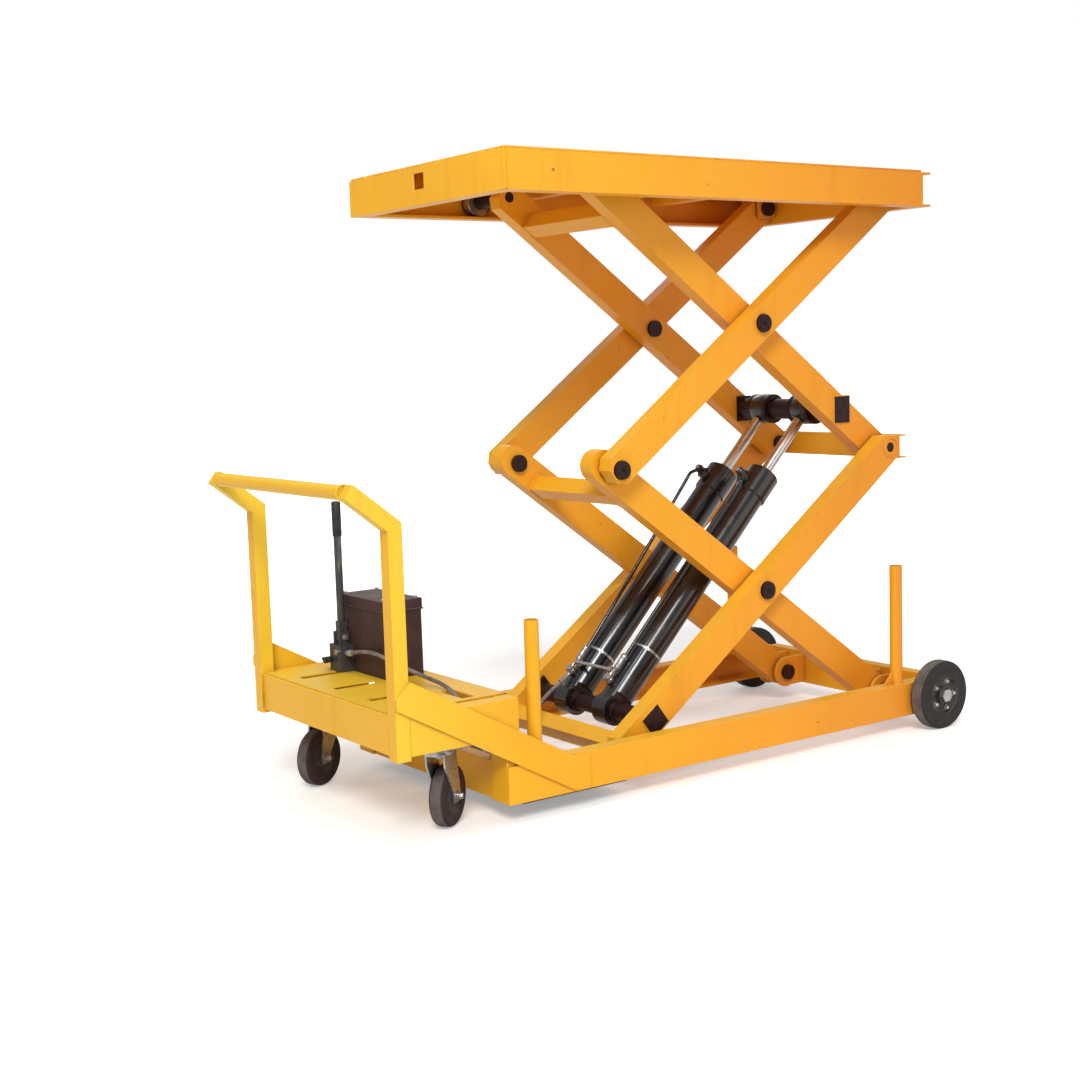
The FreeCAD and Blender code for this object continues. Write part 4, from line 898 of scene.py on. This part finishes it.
def ram_details():
    """Pipes, fittings, straps, gland rings and rounded knuckles of the two rams."""
    pipes = Build()
    metal = Build()
    ears = Build()
    bands = Build()
    seals = Build()
    knuckles = Build()
    for side in SIDES:
        y = side * RAM_Y
        pipes.tube(return_pipe(side), 0.0055, 14)
        foot_plumbing(metal, side)
        ear = ram_point(HEAD_PORT[0], y, HEAD_PORT[1])
        ears.hexagon(ear - RAM_ACROSS * 0.010, RAM_ACROSS, 0.032, 0.012)
        ears.lathe(ear + RAM_ACROSS * 0.002, RAM_ACROSS, ((0, 0.0130), (0.017, 0.0130), (0.020, 0.0105)), 28)
        metal.hexagon(ear + RAM_ACROSS * 0.022, RAM_ACROSS, 0.014, 0.006)
        thin_band(bands, 0.200 if side < 0 else 0.160, y)
        seals.lathe(ram_point(GLAND_TOP, y, 0), RAM_AXIS,
                    ((-0.002, 0.030), (0.004, 0.030), (0.007, 0.026), (0.009, 0.0185), (-0.002, 0.0180)), 40,
                    caps=False)
        for t in turns(4):
            turn = t + math.pi / 4
            outward = ACROSS * math.cos(turn) + RAM_ACROSS * math.sin(turn)
            spot = ram_point(GLAND_TOP, y, 0) + outward * 0.040
            metal.hexagon(spot - RAM_AXIS * 0.0005, RAM_AXIS, 0.008, 0.004)
        eye = at_side(RAMS_FOOT + RAM_AXIS * ram_span(), side, RAM_Y)
        knuckles.lathe(eye, ACROSS, ((-0.0296, 0.0400), (-0.0280, 0.0440), (-0.0180, 0.0466), (0, 0.0476),
                                     (0.0180, 0.0466), (0.0280, 0.0440), (0.0296, 0.0400)), 56, caps=False)
        inward = (RAM_AXIS * 0.5 + RAM_ACROSS * 0.3 - ACROSS * 0.8).normalized()
        knuckles.nipple(eye + inward * 0.048, inward)
    metal.tube([ram_point(0.092, -RAM_Y, FITTING_ACROSS + 0.002),
                ram_point(0.092, RAM_Y, FITTING_ACROSS + 0.002)],
               0.0052, 14)
    metal.hexagon(ram_point(0.092, RAM_Y - 0.022, FITTING_ACROSS + 0.002), ACROSS, 0.020, 0.014)
    metal.hexagon(ram_point(0.092, 0.022 - RAM_Y, FITTING_ACROSS + 0.002), -ACROSS, 0.018, 0.012)
    pipes.piece("ram_hard_pipes", BLACK_GLOSS, "cylinders")
    ears.piece("ram_head_banjos", BLACK_GLOSS, "cylinders")
    metal.piece("ram_port_fittings", ZINC, "cylinders")
    bands.piece("ram_straps", ZINC, "cylinders")
    seals.piece("rod_wiper_seals", PLASTIC, "cylinders")
    knuckles.piece("rod_knuckles", BLACK_GLOSS, "rods")
    elbow = Build()
    hose_end = Vector(CYLINDER_HOSE[-1])
    back = (Vector(CYLINDER_HOSE[-2]) - hose_end).normalized()
    ferrule(elbow, hose_end - back * 0.002, back)
    port = ram_point(PORT[0], RAM_Y, PORT[1] + 0.013)
    elbow.tube(rounded_path([hose_end, hose_end - back * 0.014, port], 0.006), 0.0065, 16)
    elbow.piece("cylinder_hose_elbow", ZINC, "cylinders")


# ---------------------------------------------------------------- small hardware
def pin_details():
    """Grease nipples and keeper rings on the pin heads."""
    for body, places in (("lower_inner", ((LOWER_MIDDLE, OUTER_ARM_OUT), (KNEE, OUTER_ARM_OUT))),
                         ("upper_outer", ((UPPER_MIDDLE, OUTER_ARM_OUT),)),
                         ):
        parts = Build()
        for place, face in places:
            for side in SIDES:
                top = at_side(place, side, face + 0.012)
                out = ACROSS * side
                parts.lathe(top, out, ((0, 0.0205), (0.0016, 0.0200), (0.0016, 0.0150), (0.0006, 0.0145)), 36)
                parts.nipple(top, out)
        parts.piece("pin_head_rings_" + body, PIN, body)


def boss_rings():
    """Raised welded boss rings round the pins, on the arms' outer faces."""
    for body, places in (("lower_outer", ((LOWER_MIDDLE, OUTER_ARM_OUT), (REAR_JOINT, OUTER_ARM_OUT))),
                         ("upper_outer", ((UPPER_MIDDLE, OUTER_ARM_OUT), (KNEE, OUTER_ARM_OUT))),
                         ):
        parts = Build()
        for place, face in places:
            for side in SIDES:
                top = at_side(place, side, face)
                out = ACROSS * side
                parts.lathe(top, out, ((-0.001, 0.0310), (0.0018, 0.0310), (0.0028, 0.0300), (0.0028, 0.0268),
                                       (-0.001, 0.0262)), 44, caps=False)
        parts.piece("boss_rings_" + body, YELLOW, body)


def wheel_details():
    for name, side in (("near", -1), ("far", 1)):
        centre = pivot("rear_wheel_" + name + "_roll")
        face = side * (abs(high("rear_tyre_far").y) - 0.006)
        out = ACROSS * side
        bolts = Build()
        rings = Build()
        hub = Vector((centre.x, face, centre.z))
        for t in turns(5):
            bolts.bolt(hub + (ALONG * math.cos(t) + UP * math.sin(t)) * 0.043, out, 0.011)
        rings.lathe(hub, out, ((-0.001, 0.0600), (0.0025, 0.0585), (0.0025, 0.0560), (-0.001, 0.0545)),
                    60, caps=False)
        bolts.piece("rear_wheel_bolts_" + name, ZINC, "rear_wheel_" + name)
        rings.piece("rear_wheel_rim_" + name, HUB, "rear_wheel_" + name)
        tread = Build()
        for offset in (-0.008, 0.008):
            middle = Vector((centre.x, side * 0.418 + offset, centre.z))
            tread.lathe(middle, ACROSS, ((-0.0035, 0.1048), (-0.0028, 0.1056),
                                         (0.0028, 0.1056), (0.0035, 0.1048)), 96, caps=False)
        tread.piece("rear_tyre_ribs_" + name, TYRE, "rear_wheel_" + name)


def caster_details():
    for name in ("near", "far"):
        joint = JOINTS["caster_" + name + "_roll"]
        centre = Vector(joint["pos_m"])
        axis = Vector(joint["axis"]).normalized()
        kingpin = pivot("caster_" + name + "_swivel")
        race = Build()
        race.lathe(Vector((kingpin.x, kingpin.y, 0.1955)), UP, ((0, 0.0300), (0.002, 0.0345), (0.008, 0.0355),
                                                               (0.014, 0.0345), (0.016, 0.0330)), 48)
        race.piece("caster_race_" + name, ZINC, "caster_" + name)
        hubs = Build()
        nuts = Build()
        for side in SIDES:
            out = axis * side
            hubs.lathe(centre + out * 0.0205, out, ((-0.001, 0.0460), (0.0006, 0.0450), (0.0006, 0.0180),
                                                    (0.0008, 0.0170), (0.0008, 0.0065)), 48, caps=False)
            nuts.bolt(centre + out * 0.0335, out, 0.013)
        hubs.piece("caster_wheel_discs_" + name, HUB, "caster_wheel_" + name)
        nuts.piece("caster_axle_nuts_" + name, ZINC, "caster_" + name)


def pump_details():
    lid_low, lid_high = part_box("pump_lid")
    tank_top = lid_low.z + 0.031
    screws = Build()
    for fx in (0.10, 0.90):
        for fy in (0.07, 0.93):
            place = Vector((lid_low.x + (lid_high.x - lid_low.x) * fx,
                            lid_low.y + (lid_high.y - lid_low.y) * fy, tank_top))
            screws.bolt(place, UP, 0.009)
    screws.piece("lid_screws", ZINC, "base")
    seam = Build()
    rim = lid_low.z
    for y in (lid_low.y, lid_high.y):
        seam.tube(span(lid_low.x - 0.002, y, rim + 0.002, lid_high.x + 0.002, y, rim + 0.002), 0.0022, 8)
    for x in (lid_low.x, lid_high.x):
        seam.tube(span(x, lid_low.y, rim + 0.002, x, lid_high.y, rim + 0.002), 0.0022, 8)
    seam.piece("lid_rolled_rim", MAROON, "base")
    cap_centre = Vector(((lid_low.x + lid_high.x) / 2, (lid_low.y + lid_high.y) / 2 - 0.060,
                         lid_high.z - 0.014))
    knurl = Build()
    for t in turns(24):
        out = ALONG * math.cos(t) + ACROSS * math.sin(t)
        knurl.tube([cap_centre + out * 0.016, cap_centre + out * 0.016 + UP * 0.012], 0.0013, 6)
    knurl.piece("filler_cap_grips", MAROON, "base")
    lever_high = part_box("pump_lever")[1]
    lever_x = pivot("pump_stroke").x
    lever_y = pivot("pump_stroke").y
    sleeve = Build()
    steps = ((0.0, 0.0118), (0.0015, 0.0128), (0.092, 0.0128), (0.0955, 0.0105), (0.0965, 0.0060))
    sleeve.lathe(Vector((lever_x, lever_y, lever_high.z - 0.095)), UP, steps, 32)
    sleeve.piece("lever_grip", PLASTIC, "lever")
    details = Build()
    details.bolt(Vector((lever_x, lever_y + 0.019, 0.425)), ACROSS, 0.012)
    details.bolt(Vector((lever_x, lever_y - 0.019, 0.425)), -ACROSS, 0.012)
    details.hexagon(Vector((-0.784, lever_y - 0.012, 0.385)), -ALONG, 0.016, 0.007)
    details.piece("pump_bolts", ZINC, "base")


# ---------------------------------------------------------------- stage
def stage():
    mesh = bpy.data.meshes.new("floor")
    reach = 40.0
    corners = [(-reach, -reach, 0), (reach, -reach, 0), (reach, reach, 0), (-reach, reach, 0)]
    mesh.from_pydata(corners, [], [(0, 1, 2, 3)])
    floor = bpy.data.objects.new("floor", mesh)
    bpy.context.scene.collection.objects.link(floor)
    s = Surface("pale_floor", Specular_IOR_Level=0.1)
    s.set("Base Color", s.mix(s.noise(0.8), (0.92, 0.92, 0.92), (0.95, 0.95, 0.95)))
    s.set("Roughness", 0.9)
    away = s.node("ShaderNodeVectorMath", operation="LENGTH")
    s.feed(away.inputs[0], s.place)
    seen_directly = s.node("ShaderNodeLightPath").outputs["Is Camera Ray"]
    # painted light: for camera rays only the floor glows, from 0.3 near the table to 1.0 far off, fading into the
    # white background
    lift = s.spread(away.outputs["Value"], 1.5, 7.0, 0.30, 1.0)
    s.set("Emission Color", (1.0, 1.0, 1.0, 1.0))
    s.set("Emission Strength", s.maths("MULTIPLY", lift, seen_directly))
    mesh.materials.append(s.material)
    world = bpy.data.worlds.new("studio")
    world.use_nodes = True
    tree = world.node_tree
    light = tree.nodes["Background"]
    light.inputs["Color"].default_value = (1.0, 0.985, 0.96, 1.0)
    light.inputs["Strength"].default_value = 0.42
    seen = tree.nodes.new("ShaderNodeBackground")
    seen.inputs["Color"].default_value = (1.0, 1.0, 1.0, 1.0)
    seen.inputs["Strength"].default_value = 1.0
    rays = tree.nodes.new("ShaderNodeLightPath")
    mixed = tree.nodes.new("ShaderNodeMixShader")
    tree.links.new(rays.outputs["Is Camera Ray"], mixed.inputs[0])
    tree.links.new(light.outputs[0], mixed.inputs[1])
    tree.links.new(seen.outputs[0], mixed.inputs[2])
    tree.links.new(mixed.outputs[0], tree.nodes["World Output"].inputs[0])
    bpy.context.scene.world = world


def area_light(name, place, target, size, power, tint):
    data = bpy.data.lights.new(name, "AREA")
    data.shape = "RECTANGLE"
    data.size, data.size_y = size
    data.energy = power
    data.color = tint
    made = bpy.data.objects.new(name, data)
    made.location = place
    made.rotation_euler = (Vector(target) - Vector(place)).to_track_quat("-Z", "Y").to_euler()
    bpy.context.scene.collection.objects.link(made)


def lights():
    sky = bpy.data.lights.new("broad_key", "SUN")
    sky.energy = 1.85
    sky.angle = math.radians(20)
    sky.color = (1.0, 0.985, 0.955)
    key = bpy.data.objects.new("broad_key", sky)
    key.rotation_euler = Vector((0.45, 0.60, -0.66)).to_track_quat("-Z", "Y").to_euler()
    bpy.context.scene.collection.objects.link(key)
    middle = (0.0, 0.0, 0.8)
    area_light("cool_strip", (-1.10, -0.63, 2.61), (0.10, -0.09, 0.35), (0.25, 1.3), 9, (0.80, 0.88, 1.0))
    area_light("side_fill", (2.2, -4.5, 1.8), middle, (3.0, 2.5), 20, (1.0, 0.95, 0.88))
    area_light("back_rim", (2.5, 3.5, 3.2), middle, (2.5, 2.5), 25, (1.0, 0.97, 0.93))


def camera():
    yaw, pitch, roll = 0.6116, -0.1161, -0.03185
    forward = Vector((math.sin(yaw) * math.cos(pitch), math.cos(yaw) * math.cos(pitch), math.sin(pitch)))
    right = Vector((math.cos(yaw), -math.sin(yaw), 0))
    upward = right.cross(forward)
    tilted_right = right * math.cos(roll) + upward * math.sin(roll)
    tilted_up = -right * math.sin(roll) + upward * math.cos(roll)
    data = bpy.data.cameras.new("camera")
    data.lens = 52.6
    data.sensor_width = 36.0
    data.clip_end = 200.0
    made = bpy.data.objects.new("camera", data)
    turn = Matrix((tilted_right, tilted_up, -forward)).transposed()
    made.matrix_world = Matrix.Translation(Vector((-2.7829, -3.6310, 1.1794))) @ turn.to_4x4()
    bpy.context.scene.collection.objects.link(made)
    bpy.context.scene.camera = made
    bpy.context.scene.view_settings.view_transform = "Standard"


camera()
dress_cad_nodes()
hoses()
ram_details()
scissor_welds()
platform_welds()
base_welds()
pin_details()
boss_rings()
wheel_details()
caster_details()
pump_details()
stage()
lights()
